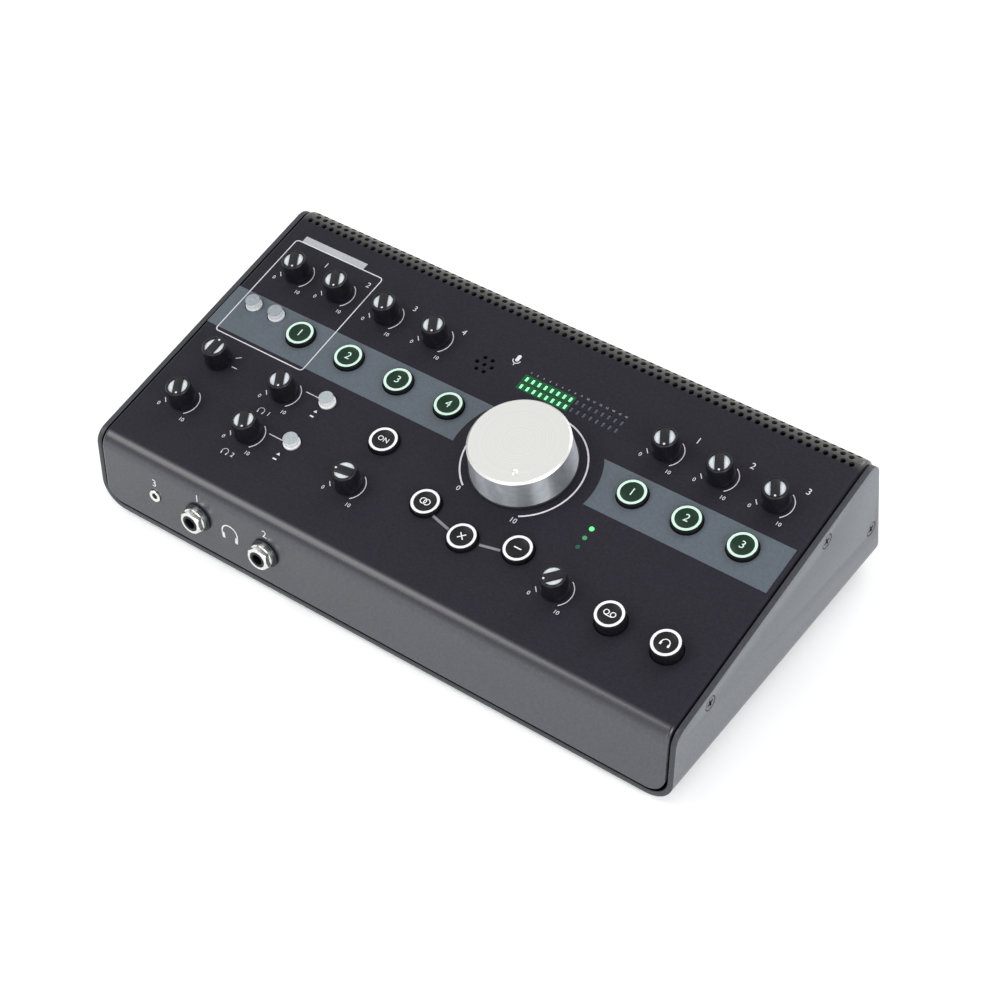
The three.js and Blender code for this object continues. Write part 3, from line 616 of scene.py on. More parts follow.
def powder_coat(name, dark, light, sheen=0.3):
    """Powder-coated steel: the coat flows into an orange peel about 0.7 mm wide that softens its gloss."""
    finish, tree, shader = blank_finish(name, Metallic=0.1, Roughness=0.42, IOR=1.5, Specular_IOR_Level=sheen)
    wire(tree, shader, "Base Color", shade(tree, grain(tree, 1.4, 3), dark, light))
    relief(tree, shader, grain(tree, 0.7, 2), 0.03, 0.25)
    return finish


def cover_coat(name):
    """The cover's coat: satin near-black on the panel, and a glossier grey over the rear and on the front;
    the greys and the black on the front bend hold painted shade.
    """
    finish, tree, shader = blank_finish(name, Metallic=0.1, IOR=1.5)
    c = colours()
    up_slope = axes_from(tree, PANEL.translation)["Y"]
    fine = grain(tree, 1.4, 3)
    # The front and rear greys are set darker than the wrap's grey, which is the same paint: painted shade.
    front = shade(tree, fine, c.front_dark, c.front_light)
    panel = shade(tree, fine, c.panel_dark, c.panel_light)
    rear = shade(tree, fine, c.rear_dark, c.rear_light)
    # The black runs down the front bend past its highlight, so the dark stripe below the highlight is painted
    # shade.
    panel_print_and_painted_stripe = step(tree, up_slope, -97.2, -95.4)
    on_rear = step(tree, up_slope, 79.0, 84.0)
    on_front = step(tree, up_slope, -90.6, -92.6)
    base = front
    for share, coat in ((panel_print_and_painted_stripe, panel), (on_rear, rear)):
        mix = add_node(tree, "ShaderNodeMix", {"Factor": share, 6: base, 7: coat}, data_type="RGBA")
        base = mix.outputs[2]
    wire(tree, shader, "Base Color", base)
    glossy = add_node(tree, "ShaderNodeMath", {0: on_front, 1: on_rear}, operation="MAXIMUM").outputs["Value"]
    roughen(tree, shader, glossy, 0.5, 0.27)
    sheen = add_node(tree, "ShaderNodeMapRange", {"Value": glossy, "To Min": 0.12, "To Max": 0.6})
    wire(tree, shader, "Specular IOR Level", sheen.outputs["Result"])
    relief(tree, shader, grain(tree, 0.7, 2), 0.03, 0.2)
    return finish


def brushed_aluminium(name):
    """Aluminium turned and brushed round: the fine grooves spread the light up and down the knob's side."""
    finish, tree, shader = blank_finish(name, Metallic=1.0, Anisotropic=0.95, Anisotropic_Rotation=0.25)
    round_axis = add_node(tree, "ShaderNodeTangent", direction_type="RADIAL", axis="Z")
    wire(tree, shader, "Tangent", round_axis.outputs[0])
    cloud = grain(tree, 3, 2)
    wire(tree, shader, "Base Color", shade(tree, cloud, "#999da3", "#a6aaaf"))
    roughen(tree, shader, cloud, 0.44, 0.52)
    return finish


def spun_aluminium(name, dark, light, roughness):
    """Turned aluminium: the tool leaves rings about 0.25 mm apart that draw the light out into bands."""
    finish, tree, shader = blank_finish(name, Metallic=1.0)
    axes = axes_from(tree, VOLUME_PLACE)
    flat = add_node(tree, "ShaderNodeCombineXYZ", {"X": axes["X"], "Y": axes["Y"]})
    reach = add_node(tree, "ShaderNodeVectorMath", {0: flat.outputs["Vector"]}, operation="LENGTH")
    inputs = {"W": reach.outputs["Value"], "Scale": 1 / (0.25 * MM), "Detail": 3.0}
    rings = add_node(tree, "ShaderNodeTexNoise", inputs, noise_dimensions="1D").outputs["Fac"]
    wire(tree, shader, "Base Color", shade(tree, rings, dark, light))
    roughen(tree, shader, rings, roughness, roughness + 0.12)
    relief(tree, shader, rings, 0.01, 0.15)
    return finish


def moulded(name, dark, light, roughness, size=0.5, depth=0.015, sheen=0.5):
    """Moulded plastic: a spark-eroded mould leaves a fine even grain that keeps the gloss low."""
    finish, tree, shader = blank_finish(name, Roughness=roughness, IOR=1.5, Specular_IOR_Level=sheen)
    wire(tree, shader, "Base Color", shade(tree, grain(tree, size * 3, 2), dark, light))
    relief(tree, shader, grain(tree, size, 2), depth, 0.3)
    return finish


def screen_ink(name, dark, light):
    """Screen-printed ink: a thin matt film, with the faint texture of the printing mesh."""
    return moulded(name, dark, light, 0.6, 0.3, 0.004)


def plated(name, dark, light, roughness):
    """Plated metal: bright, with faint polishing streaks that cloud the reflection."""
    finish, tree, shader = blank_finish(name, Metallic=1.0)
    cloud = grain(tree, 1.2, 3)
    wire(tree, shader, "Base Color", shade(tree, cloud, dark, light))
    roughen(tree, shader, cloud, roughness, roughness + 0.14)
    return finish


def lit(name, dark, light, glow, strength):
    """Frosted acrylic with a lamp behind it: a plain body colour with an even glow of its own."""
    finish, tree, shader = blank_finish(name, Roughness=0.35, IOR=1.49, Specular_IOR_Level=0.2)
    wire(tree, shader, "Base Color", shade(tree, grain(tree, 0.8, 2), dark, light))
    shader.inputs["Emission Color"].default_value = linear(glow)
    shader.inputs["Emission Strength"].default_value = strength
    return finish


def meter_lens(name):
    """The meter's smoked windows: the lamps behind the left half glow green, and the rest are dark."""
    finish, tree, shader = blank_finish(name, Roughness=0.3, IOR=1.49)
    last_lit = METER_START[0] + METER_PITCH[0] * (METER_LIT - 0.5)
    unlit = step(tree, axes_from(tree, PANEL.translation)["X"], last_lit - 0.1, last_lit + 0.1)
    fine = grain(tree, 0.8, 2)
    bright = shade(tree, fine, "#8fd9aa", "#a4e8bc")
    dark = shade(tree, fine, "#383c49", "#454a58")
    glow, none = linear("#5fd98c"), linear("#000000")
    for socket, on, off in (("Base Color", bright, dark), ("Emission Color", glow, none)):
        mix = add_node(tree, "ShaderNodeMix", {"Factor": unlit, 6: on, 7: off}, data_type="RGBA")
        wire(tree, shader, socket, mix.outputs[2])
    shader.inputs["Emission Strength"].default_value = 0.7
    return finish


def circuit_board(name):
    """Solder mask on glass laminate: a green gloss coat over a weave about 0.5 mm wide."""
    finish, tree, shader = blank_finish(name, Roughness=0.35, IOR=1.5)
    inputs = {"Vector": object_coordinates(tree), "Scale": 1 / (0.5 * MM) / 4}
    weave = add_node(tree, "ShaderNodeTexBrick", inputs)
    wire(tree, shader, "Base Color", shade(tree, weave.outputs["Fac"], "#174a2e", "#1f6040"))
    return finish


FINISHES = {}


def make_finishes():
    c = colours()
    FINISHES.update(
        wrap=powder_coat("powder_coated_steel_grey", c.wrap_dark, c.wrap_light),
        # The rim paint is a darker copy of the wrap's paint: painted shade on its edges and countersinks.
        rim=powder_coat("powder_coated_steel_rim", "#35363b", "#3f4045"),
        # The inside paint is near-black: painted shade in the gap between the wrap and the cover.
        inside=powder_coat("painted_shade_wrap_inside", "#08080a", "#0c0c0e", 0.1),
        cover=cover_coat("powder_coated_steel_panel"),
        band=powder_coat("screen_printed_band", c.band_dark, c.band_light),
        volume=spun_aluminium("spun_aluminium", "#cbccca", "#e6e6e2", 0.3),
        volume_side=brushed_aluminium("brushed_aluminium"),
        knob=moulded("moulded_abs_black", "#0d0d13", "#15151c", 0.34, sheen=0.3),
        # The pale colour on the small knobs' recessed tops is a painted reflection.
        inlay=moulded("painted_reflection_pale", "#d2dade", "#e0e6e9", 0.4, 0.4, 0.006),
        ink=screen_ink("screen_ink_white", "#cfced3", "#dddce0"),
        ink_grey=screen_ink("screen_ink_grey", "#77767d", "#85848b"),
        ink_pale=screen_ink("screen_ink_pale", "#a3a5ab", "#b0b2b8"),
        cap_black=moulded("moulded_abs_cap_black", "#0e0e12", "#16161b", 0.35, sheen=0.2),
        cap_green=lit("lit_acrylic_green", "#0b2015", "#102a1c", "#0c3a1d", 0.12),
        ring_green=lit("lit_acrylic_ring_green", "#c2d8cf", "#cfe3da", "#7fe0a0", 0.14),
        ring_white=lit("frosted_acrylic_ring_white", "#dddde0", "#e9e9eb", "#ffffff", 0.08),
        switch=moulded("moulded_abs_pale_grey", "#98a1a6", "#a8b0b5", 0.35),
        switch_dark=moulded("moulded_abs_mid_grey", "#858d92", "#959da2", 0.35),
        collar=moulded("moulded_abs_white", "#dcdfe0", "#ececec", 0.35),
        collar_dark=moulded("moulded_abs_pale", "#c8ccce", "#d6d9da", 0.35),
        socket=moulded("moulded_pbt_black", "#101013", "#18181c", 0.4),
        contact=plated("gold_plated_contact", "#a98a45", "#c8a862", 0.2),
        nickel=plated("nickel_plated_brass", "#d6d6d4", "#f2f2ee", 0.12),
        screw=plated("zinc_plated_steel", "#4a4c50", "#7d7f83", 0.25),
        zinc=plated("black_zinc_steel", "#26272a", "#3a3b3f", 0.3),
        rubber=moulded("moulded_rubber_black", "#1a1a1b", "#242425", 0.85, 0.4, 0.03),
        board=circuit_board("solder_mask_green"),
        meter=meter_lens("smoked_acrylic_meter"),
        # The meter strips' green glow is painted light spilled from the meter's lamps.
        glow=lit("meter_painted_glow_green", "#0e3f24", "#12492b", "#0f6a36", 0.25),
        lamp_on=lit("lamp_lens_green_lit", "#58d878", "#6ae68a", "#54f078", 0.85),
        lamp_dim=lit("lamp_lens_green_dim", "#3f7a52", "#4c8f61", "#2c7a45", 0.35),
        lamp_off=lit("lamp_lens_green_off", "#24463a", "#2c5245", "#1c4a38", 0.15),
    )


# Sizes and colours that a user would change


class ControllerSizes(bpy.types.PropertyGroup):
    vent_radius: FloatProperty(
        name="Vent radius", description="Radius of a ventilation hole, in mm", default=1.53, min=0.5, max=2.4
    )
    print_height: FloatProperty(
        name="Ink height",
        description="Height of the print on the panel, in mm",
        default=0.05,
        min=0.02,
        max=0.2,
    )
    wrap_rounding: FloatProperty(
        name="Wrap edge", description="Rounding of the base's edges, in mm", default=0.6, min=0.1, max=1.5
    )
    knob_sides: IntProperty(
        name="Knob sides", description="Sides of a small knob's round body", default=64, min=24, max=128
    )


def hex_property(label, words, value):
    return StringProperty(name=label, description=words, default=value, maxlen=7)


class ControllerColours(bpy.types.PropertyGroup):
    panel_dark: hex_property("Panel, dark", "Darker grain of the panel's paint", "#211f27")
    panel_light: hex_property("Panel, light", "Lighter grain of the panel's paint", "#28262e")
    rear_dark: hex_property("Rear, dark", "Darker grain of the paint over the rear", "#393837")
    rear_light: hex_property("Rear, light", "Lighter grain of the paint over the rear", "#454442")
    front_dark: hex_property("Front, dark", "Darker grain of the front's paint", "#393c42")
    front_light: hex_property("Front, light", "Lighter grain of the front's paint", "#43464c")
    wrap_dark: hex_property("Wrap, dark", "Darker grain of the wrap's paint", "#61656a")
    wrap_light: hex_property("Wrap, light", "Lighter grain of the wrap's paint", "#6c7176")
    band_dark: hex_property("Band, dark", "Darker grain of the printed band", "#505860")
    band_light: hex_property("Band, light", "Lighter grain of the printed band", "#59616a")


# Pieces


class CONTROLLER_OT_stage(bpy.types.Operator):
    """Floor, lights, world and the camera at the photograph's angle"""

    bl_idname = "controller.stage"
    bl_label = "Stage"

    def execute(self, context):
        scene = context.scene
        scene.view_settings.view_transform = "Standard"
        self.floor()
        self.world(scene)
        self.lamps()
        self.camera(scene)
        return {"FINISHED"}

    def floor(self):
        """A pale floor that takes the shadow and runs out into the white of the background."""
        deselect()
        bpy.ops.mesh.primitive_plane_add(size=12, location=(0, 0, -0.2 * MM))
        floor = bpy.context.object
        floor.name = "floor"
        finish, tree, shader = blank_finish("pale_floor", Roughness=0.9)
        wire(tree, shader, "Base Color", shade(tree, grain(tree, 60, 2), "#f3f3f3", "#f6f6f6"))
        shader.inputs["Emission Color"].default_value = (1, 1, 1, 1)
        reach = add_node(tree, "ShaderNodeVectorMath", {0: object_coordinates(tree)}, operation="LENGTH")
        far = step(tree, reach.outputs["Value"], 900, 2200)
        glow = add_node(tree, "ShaderNodeMath", {0: far, 1: seen_rays(tree)}, operation="MULTIPLY")
        inputs = {"Value": glow.outputs["Value"], "To Min": 0.2, "To Max": 1.0}
        level = add_node(tree, "ShaderNodeMapRange", inputs)
        wire(tree, shader, "Emission Strength", level.outputs["Result"])
        paint(floor, finish)

    def world(self, scene):
        """White where it is looked at, and dimmer as a light on the object."""
        world = bpy.data.worlds.new("studio")
        scene.world = world
        world.use_nodes = True
        tree = world.node_tree
        background = tree.nodes["Background"]
        background.inputs["Color"].default_value = (1, 1, 1, 1)
        inputs = {"Value": seen_rays(tree), "To Min": 0.45, "To Max": 1.0}
        level = add_node(tree, "ShaderNodeMapRange", inputs)
        wire(tree, background, "Strength", level.outputs["Result"])

    def lamps(self):
        """Area lamps, each by its place, target and size in metres and its power in watts."""
        places = (
            ("key_lamp", (-0.92, -0.76, 1.35), (0, 0, 0.05), 1.0, 13.5),
            ("side_lamp", (1.5, -0.5, 0.75), (0.05, 0, 0.04), 0.9, 15),
            ("rear_lamp", (0.3, 1.5, 1.2), (0, 0, 0.05), 1.2, 14),
            ("front_lamp", (0.2, -1.6, 0.7), (0, 0, 0.04), 1.0, 7),
        )
        for name, place, target, size, power in places:
            light = bpy.data.lights.new(name, "AREA")
            light.energy = power
            light.size = size
            lamp = bpy.data.objects.new(name, light)
            bpy.context.scene.collection.objects.link(lamp)
            lamp.location = place
            lamp.rotation_euler = (Vector(target) - Vector(place)).to_track_quat("-Z", "Y").to_euler()

    def camera(self, scene):
        """The camera by its place and by its right and back directions."""
        data = bpy.data.cameras.new("camera")
        data.lens = 84.05
        data.sensor_width = 36.0
        data.clip_end = 20
        camera = bpy.data.objects.new("camera", data)
        scene.collection.objects.link(camera)
        right = Vector((0.8073, 0.5895, -0.0289)).normalized()
        back = Vector((0.4336, -0.5592, 0.7066)).normalized()
        up = back.cross(right).normalized()
        right = up.cross(back)
        turn = Matrix((right, up, back)).transposed().to_4x4()
        place = Vector((0.5458, VOLUME_PLACE.y - 0.6865, 0.9025))
        camera.matrix_world = Matrix.Translation(place) @ turn
        scene.camera = camera


class CONTROLLER_OT_housing(bpy.types.Operator):
    """Base wrap, cover with its vents, feet and side screws"""

    bl_idname = "controller.housing"
    bl_label = "Housing"

    def execute(self, context):
        make_finishes()
        self.wrap()
        self.cover()
        self.feet()
        self.screws()
        return {"FINISHED"}

    def wrap(self):
        """The base: a U of thick sheet, cut to the side outline just behind the cover's faces."""
        outer = cradle(HALF_WIDTH, FOOT_HEIGHT, OVERRUN, WRAP_BEND)
        inner = cradle(HALF_WIDTH - WALL, FOOT_HEIGHT + WALL, OVERRUN, WRAP_BEND - WALL)
        wrap = prism_back("steel_wrap", outer + inner[::-1], OVERRUN)
        behind_cover = 1.4
        keep_common(wrap, prism_across("wrap_outline", side_loop(behind_cover, -10), HALF_WIDTH + 35))
        shank = turned("screw_hole", [(2.5, -8), (2.5, -2.5), (4.3, -0.2), (4.3, 4)], 40)
        cut_away(wrap, merged(copies(shank, [place for node, place in screw_places()]), "screw_holes"))
        whole_faces(wrap)
        round_edges(wrap, sizes().wrap_rounding, 2, 40)
        tidy_faces(wrap)
        paint(wrap, FINISHES["wrap"], FINISHES["rim"], FINISHES["inside"])
        # Slot 1, the cut edges and the countersinks, is a darker copy of the paint: painted shade.
        paint_faces(wrap, 1, lambda m, n: abs(n.x) < 0.75 and (abs(n.y) > 0.08 or m.z > 30))
        # Slot 2, the inner faces, is near-black: painted shade in the gap round the cover.
        paint_faces(wrap, 2, lambda m, n: n.x * m.x < -0.3 * abs(m.x) or (m.z < 12 and n.z > 0.9))
        stand_for(wrap, "base_wrap")

    def cover(self):
        """The cover: a block to the side outline with folded edges, hollowed to a sheet with side flanges."""
        half = HALF_WIDTH - WALL - GAP
        floor = FOOT_HEIGHT + WALL + 3
        flange = 14
        below = -20
        cover = prism_across("steel_cover", side_loop(0, floor - 4), half)
        round_edges(cover, 2, 5, 60)
        faces = cradle(half, floor, OVERRUN, WRAP_BEND - WALL - GAP)
        keep_common(cover, prism_back("cover_faces", faces, OVERRUN))
        cut_away(cover, prism_across("inside", side_loop(SHEET, below), half - SHEET))
        cut_away(cover, prism_across("flange_window", side_loop(flange, below), HALF_WIDTH + 10))
        cutters = self.vents() + self.panel_holes() + self.end_holes()
        cut_away(cover, merged(cutters, "cover_holes"))
        tidy_faces(cover, 30)
        paint(cover, FINISHES["cover"])
        stand_for(cover, "top_cover")

    def vents(self):
        """Three rows of holes over the rear bend, each square to the sheet and the middle one set over."""
        pitch, row_pitch, before_bend = 5.0, 4.33, 0.8
        middle_y, middle_z = crossing(SIDE_LINES[1], SIDE_LINES[2], BEND_RADII[1])
        rows = []
        for row, count in enumerate((71, 70, 71)):
            arc = row * row_pitch - before_bend
            hole = turned("vent", [(sizes().vent_radius, 5), (sizes().vent_radius, 14)], 20)
            apply_modifier(
                hole,
                "ARRAY",
                count=count,
                use_relative_offset=False,
                use_constant_offset=True,
                constant_offset_displace=(pitch * MM, 0, 0),
            )
            turn = PANEL_TILT - max(arc, 0) / BEND_RADII[1]
            place = Matrix.Translation((0, VOLUME_PLACE.y + middle_y * MM, middle_z * MM))
            place = place @ Matrix.Rotation(turn, 4, "X")
            settle(hole, at(place, -pitch / 2 * (count - 1), min(arc, 0)))
            rows.append(hole)
        return rows

    def panel_holes(self):
        x, y = middle_of("talkback_microphone")
        turns = [math.radians(60 * i) for i in range(6)]
        microphone = [(x, y)] + [(x + 4.8 * math.cos(t), y + 4.8 * math.sin(t)) for t in turns]
        cutters = holes(PANEL, [middle_of(node) for node in BUTTONS], BUTTON_HOLE, 64)
        cutters += holes(PANEL, [middle_of(node) for node in SWITCHES], SWITCH_HOLE, 48)
        cutters += holes(PANEL, [place[:2] for place in KNOBS.values()], 3.5)
        cutters += holes(PANEL, microphone, 1.25, 24) + holes(PANEL, LAMPS, 1.5, 24)
        cutters += holes(PANEL, [(VOLUME_X, 0)], 5.0)
        return cutters + [window(PANEL, x, y, *METER_WINDOW) for x, y in meter_places()]

    def end_holes(self):
        phones = [(middle_of(f"phones_{number}_nut", FRONT)[0], PHONES_HEIGHT) for number in (1, 2)]
        small_socket = (middle_of("small_phones_jack", FRONT)[0], SMALL_SOCKET_HEIGHT)
        combos = [middle_of(f"combo_socket_{number}", REAR) for number in (1, 2)]
        cutters = holes(FRONT, phones, 4.9) + holes(FRONT, [small_socket], 3.9)
        cutters += holes(REAR, rear_jack_places(), 4.8) + holes(REAR, combos, 12.0, 48)
        cutters += holes(REAR, [on_rear_row("power_inlet")], 5.5)
        cutters.append(window(REAR, *on_rear_row("usb_socket"), 12.6, 11.6))
        cutters.append(window(REAR, *on_rear_row("power_button"), 10, 10))
        return cutters

    def feet(self):
        first = turned("foot", [(6.2, 0), (6.8, 0.6), (7, 1.6), (7, 3.2), (6.6, 3.7)], 48)
        paint(first, FINISHES["rubber"])
        for node in ("front_right_foot", "front_left_foot", "rear_right_foot", "rear_left_foot"):
            low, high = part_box(node)
            foot = twin(first, "rubber_" + node)
            settle(foot, Matrix.Translation(((low.x + high.x) / 2, (low.y + high.y) / 2, 0)))
            stand_for(foot, node)
        bpy.data.objects.remove(first)

    def screws(self):
        first = turned("screw", [(2, -7), (2, -2), (3.75, -0.3), (3.75, -0.2)], 40)
        for turn in (0, 90):
            blade = slab("screw_slot", (4.8, 1.2, 3), (0, 0, 0.1))
            settle(blade, Matrix.Rotation(math.radians(turn + 20), 4, "Z"))
            cut_away(first, blade)
        tidy_faces(first)
        paint(first, FINISHES["screw"])
        for node, place in screw_places():
            screw = twin(first, node + "_head")
            settle(screw, place)
            stand_for(screw, node)
        bpy.data.objects.remove(first)


class CONTROLLER_OT_knobs(bpy.types.Operator):
    """Volume knob and the thirteen small knobs"""

    bl_idname = "controller.knobs"
    bl_label = "Knobs"

    def execute(self, context):
        self.volume()
        self.small()
        return {"FINISHED"}

    def volume(self):
        """The volume knob: a black foot ring and a black underside as painted shadow, a brushed side, and a
        spun top with a dimple as its pointer.
        """
        foot = 1.2
        profile = [(3, -6), (3, 6.3), (9.5, 6.3), (9.5, 0.4), (28.8, 0.4), (29, 0.6), (28.8, 1.1)]
        profile += [(28.3, foot), (27.25, 18.2), (26.2, 19.23), (25.8, 19.23), (13, 19.2), (2, 19.18)]
        knob = turned("spun_volume_knob", profile, 128)
        deselect()
        bpy.ops.mesh.primitive_uv_sphere_add(segments=32, ring_count=16, radius=1.0)
        dimple = bpy.context.object
        dimple.scale = (1.7 * MM, 2.1 * MM, 0.9 * MM)
        dimple.location = (0, 20 * MM, 19.25 * MM)
        bake_place()
        cut_away(knob, dimple)
        tidy_faces(knob, 25)
        paint(knob, FINISHES["volume"], FINISHES["volume_side"], FINISHES["socket"])
        paint_faces(knob, 1, lambda m, n: foot < m.z < 18 and math.hypot(m.x, m.y) > 20)
        # The foot ring and the underside are black: painted contact shadow under the knob.
        paint_faces(knob, 2, lambda m, n: m.z < foot and math.hypot(m.x, m.y) > 10)
        settle(knob, at(PANEL, VOLUME_X, 0, 0, -150))
        stand_for(knob, "volume_knob")

    def small(self):
        first = self.model()
        for node, (x, y, turn) in KNOBS.items():
            knob = twin(first, "moulded_" + node)
            settle(knob, at(PANEL, x, y, 0, -turn))
            stand_for(knob, node)
        bpy.data.objects.remove(first)

    def model(self):
        """One small knob with its pointer up: a body, a recessed top painted pale as a painted reflection,
        and a raised bar with a white dot.
        """
        profile = [(3, -3.7), (3, 0.8), (7.3, 0.8), (7.5, 1.1), (7.45, 2.5), (6.85, 11.8)]
        profile += [(6.7, 12.3), (6.4, 12.6), (5.4, 12.6), (5.3, 11.7)]
        body = turned("small_knob", profile, sizes().knob_sides)
        bar = slab("knob_bar", (4.8, 11.6, 1.2), (0, 0, 12.0), 0.15, 2)
        dot = turned("knob_dot", [(0.6, 12.5), (0.6, 12.61)], 20)
        settle(dot, Matrix.Translation((0, 4.7 * MM, 0)))
        paint(body, FINISHES["knob"], FINISHES["inlay"])
        # The recessed top either side of the bar is painted pale: a painted reflection of the light it
        # catches.
        paint_faces(body, 1, lambda m, n: abs(m.z - 11.7) < 0.05 and n.z > 0.9)
        paint(bar, FINISHES["knob"])
        paint(dot, FINISHES["ink"])
        return merged([body, bar, dot], "small_knob")


class CONTROLLER_OT_buttons(bpy.types.Operator):
    """Lit push buttons with their marks, and the small push switches"""

    bl_idname = "controller.buttons"
    bl_label = "Buttons"

    def execute(self, context):
        for node, (mark, green) in BUTTONS.items():
            self.button(node, mark, green)
        for node in SWITCHES:
            self.switch(node)
        return {"FINISHED"}

    def button(self, node, mark, green):
        top = 7.0 if "talk_to" in node else 2.8
        profile = [(2, -7), (2, -2.6), (8.1, -2.6), (8.2, -2.4), (8.2, top - 0.5), (7.95, top - 0.1)]
        profile += [(7.6, top), (6.15, top), (5.95, top - 0.12)]
        cap = turned("lit_" + node, profile, 72)
        bright = FINISHES["ring_green" if green else "ring_white"]
        paint(cap, FINISHES["cap_black"], bright, FINISHES["cap_green" if green else "cap_black"])
        paint_faces(
            cap, 1, lambda m, n: n.z > 0.9 and abs(m.z - top) < 0.02 and 6.2 < math.hypot(m.x, m.y) < 7.6
        )
        paint_faces(cap, 2, lambda m, n: n.z > 0.9 and math.hypot(m.x, m.y) < 1)
        mark_piece = button_mark(mark, bright)
        settle(mark_piece, Matrix.Translation((0, 0, (top - 0.11) * MM)))
        cap = merged([cap, mark_piece], "lit_" + node)
        settle(cap, at(PANEL, *middle_of(node)))
        stand_for(cap, node)

    def switch(self, node):
        profile = [(2, -7), (2, -2.6), (4.7, -2.6), (4.7, 0.6), (4.5, 0.8), (4.15, 0.8), (4.1, 1.0)]
        profile += [(4.1, 4.2), (3.95, 4.5), (3.6, 4.6)]
        cap = turned("pale_" + node, profile, 48)
        tone = "_dark" if "preamp" in node else ""
        paint(cap, FINISHES["collar" + tone], FINISHES["switch" + tone])
        paint_faces(cap, 1, lambda m, n: m.z > 4.3)
        settle(cap, at(PANEL, *middle_of(node)))
        stand_for(cap, node)


# Printing


def made_mesh(curve):
    """Turn a flat curve or text into a mesh piece at the origin."""
    piece = bpy.data.objects.new(curve.name, curve)
    bpy.context.scene.collection.objects.link(piece)
    activate(piece)
    bpy.ops.object.convert(target="MESH")
    piece = bpy.context.object
    tidy_faces(piece)
    return piece


def outline_piece(name, loops, thickness=INK):
    """Closed outlines in mm, filled flat: an outline inside another is a hole in it."""
    curve = bpy.data.curves.new(name, "CURVE")
    curve.dimensions = "2D"
    curve.fill_mode = "BOTH"
    curve.extrude = thickness / 2 * MM
    for loop in loops:
        spline = curve.splines.new("POLY")
        spline.points.add(len(loop) - 1)
        for point, (x, y) in zip(spline.points, loop):
            point.co = (x * MM, y * MM, 0, 1)
        spline.use_cyclic_u = True
    return made_mesh(curve)


def outline_pieces(loops):
    """A piece for each closed outline, so that outlines may cross."""
    return [outline_piece("outline", [loop]) for loop in loops]


def text_piece(words, height, middle=(0, 0)):
    """Printed figures, centred on a place in mm. A capital is 0.7 of the letter size."""
    curve = bpy.data.curves.new("figure", "FONT")
    curve.body = words
    curve.size = height / 0.7 * MM
    curve.align_x = "CENTER"
    curve.align_y = "CENTER"
    curve.extrude = INK / 2 * MM
    curve.resolution_u = 3
    piece = made_mesh(curve)
    settle(piece, Matrix.Translation((middle[0] * MM, middle[1] * MM, 0)))
    return piece


def arc_loop(middle, radius, width, start, end, steps=48):
    """A stroke along an arc, by angles in degrees clockwise from straight up."""
    points = []
    for reach, order in ((radius + width / 2, 1), (radius - width / 2, -1)):
        for i in range(steps + 1)[::order]:
            angle = math.radians(start + (end - start) * i / steps)
            points.append((middle[0] + reach * math.sin(angle), middle[1] + reach * math.cos(angle)))
    return points


def circle_loop(middle, radius, steps=48):
    turns = [2 * math.pi * i / steps for i in range(steps)]
    return [(middle[0] + radius * math.cos(t), middle[1] + radius * math.sin(t)) for t in turns]


def box_loop(left, low, right, high):
    return [(left, low), (right, low), (right, high), (left, high)]


def stroke_loop(start, end, width):
    """A straight stroke between two points."""
    along = Vector((end[0] - start[0], end[1] - start[1])).normalized()
    side = Vector((-along.y, along.x)) * width / 2
    corners = []
    for point, sign in ((start, 1), (end, 1), (end, -1), (start, -1)):
        corners.append((point[0] + side.x * sign, point[1] + side.y * sign))
    return corners


def rounded_loop(left, low, right, high, radius):
    """A rectangle with round corners."""
    points = []
    for number in range(4):
        middle_x = (right - radius) if number in (0, 3) else (left + radius)
        middle_y = (high - radius) if number < 2 else (low + radius)
        for i in range(7):
            angle = math.radians(90 * number + 15 * i)
            points.append((middle_x + radius * math.cos(angle), middle_y + radius * math.sin(angle)))
    return points


def button_mark(mark, finish):
    """The mark on a button's cap: a figure, ON, or a plain sign."""
    signs = {
        "rings": [arc_loop((x, 0), 1.7, LINE, 0, 360) for x in (-1.1, 1.1)],
        "cross": [stroke_loop((-1.7, -y), (1.7, y), 0.6) for y in (1.7, -1.7)],
        "bar": [stroke_loop((-2.2, 0), (2.2, 0), 0.7)],
        "reels": [arc_loop((x, 0.3), 1.35, LINE, 0, 360) for x in (-1.9, 1.9)],
        "arch": [arc_loop((0, -0.5), 2.3, LINE, -90, 90)],
    }
    signs["reels"].append(stroke_loop((-1.9, -1.3), (1.9, -1.3), LINE))
    signs["arch"] += [stroke_loop((x, -0.5), (x, -2.1), 1.1) for x in (-2.2, 2.2)]
    if mark in signs:
        piece = merged(outline_pieces(signs[mark]), "mark")
    else:
        piece = text_piece(mark, 3.0 if mark == "ON" else 4.6)
    paint(piece, finish)
    return piece


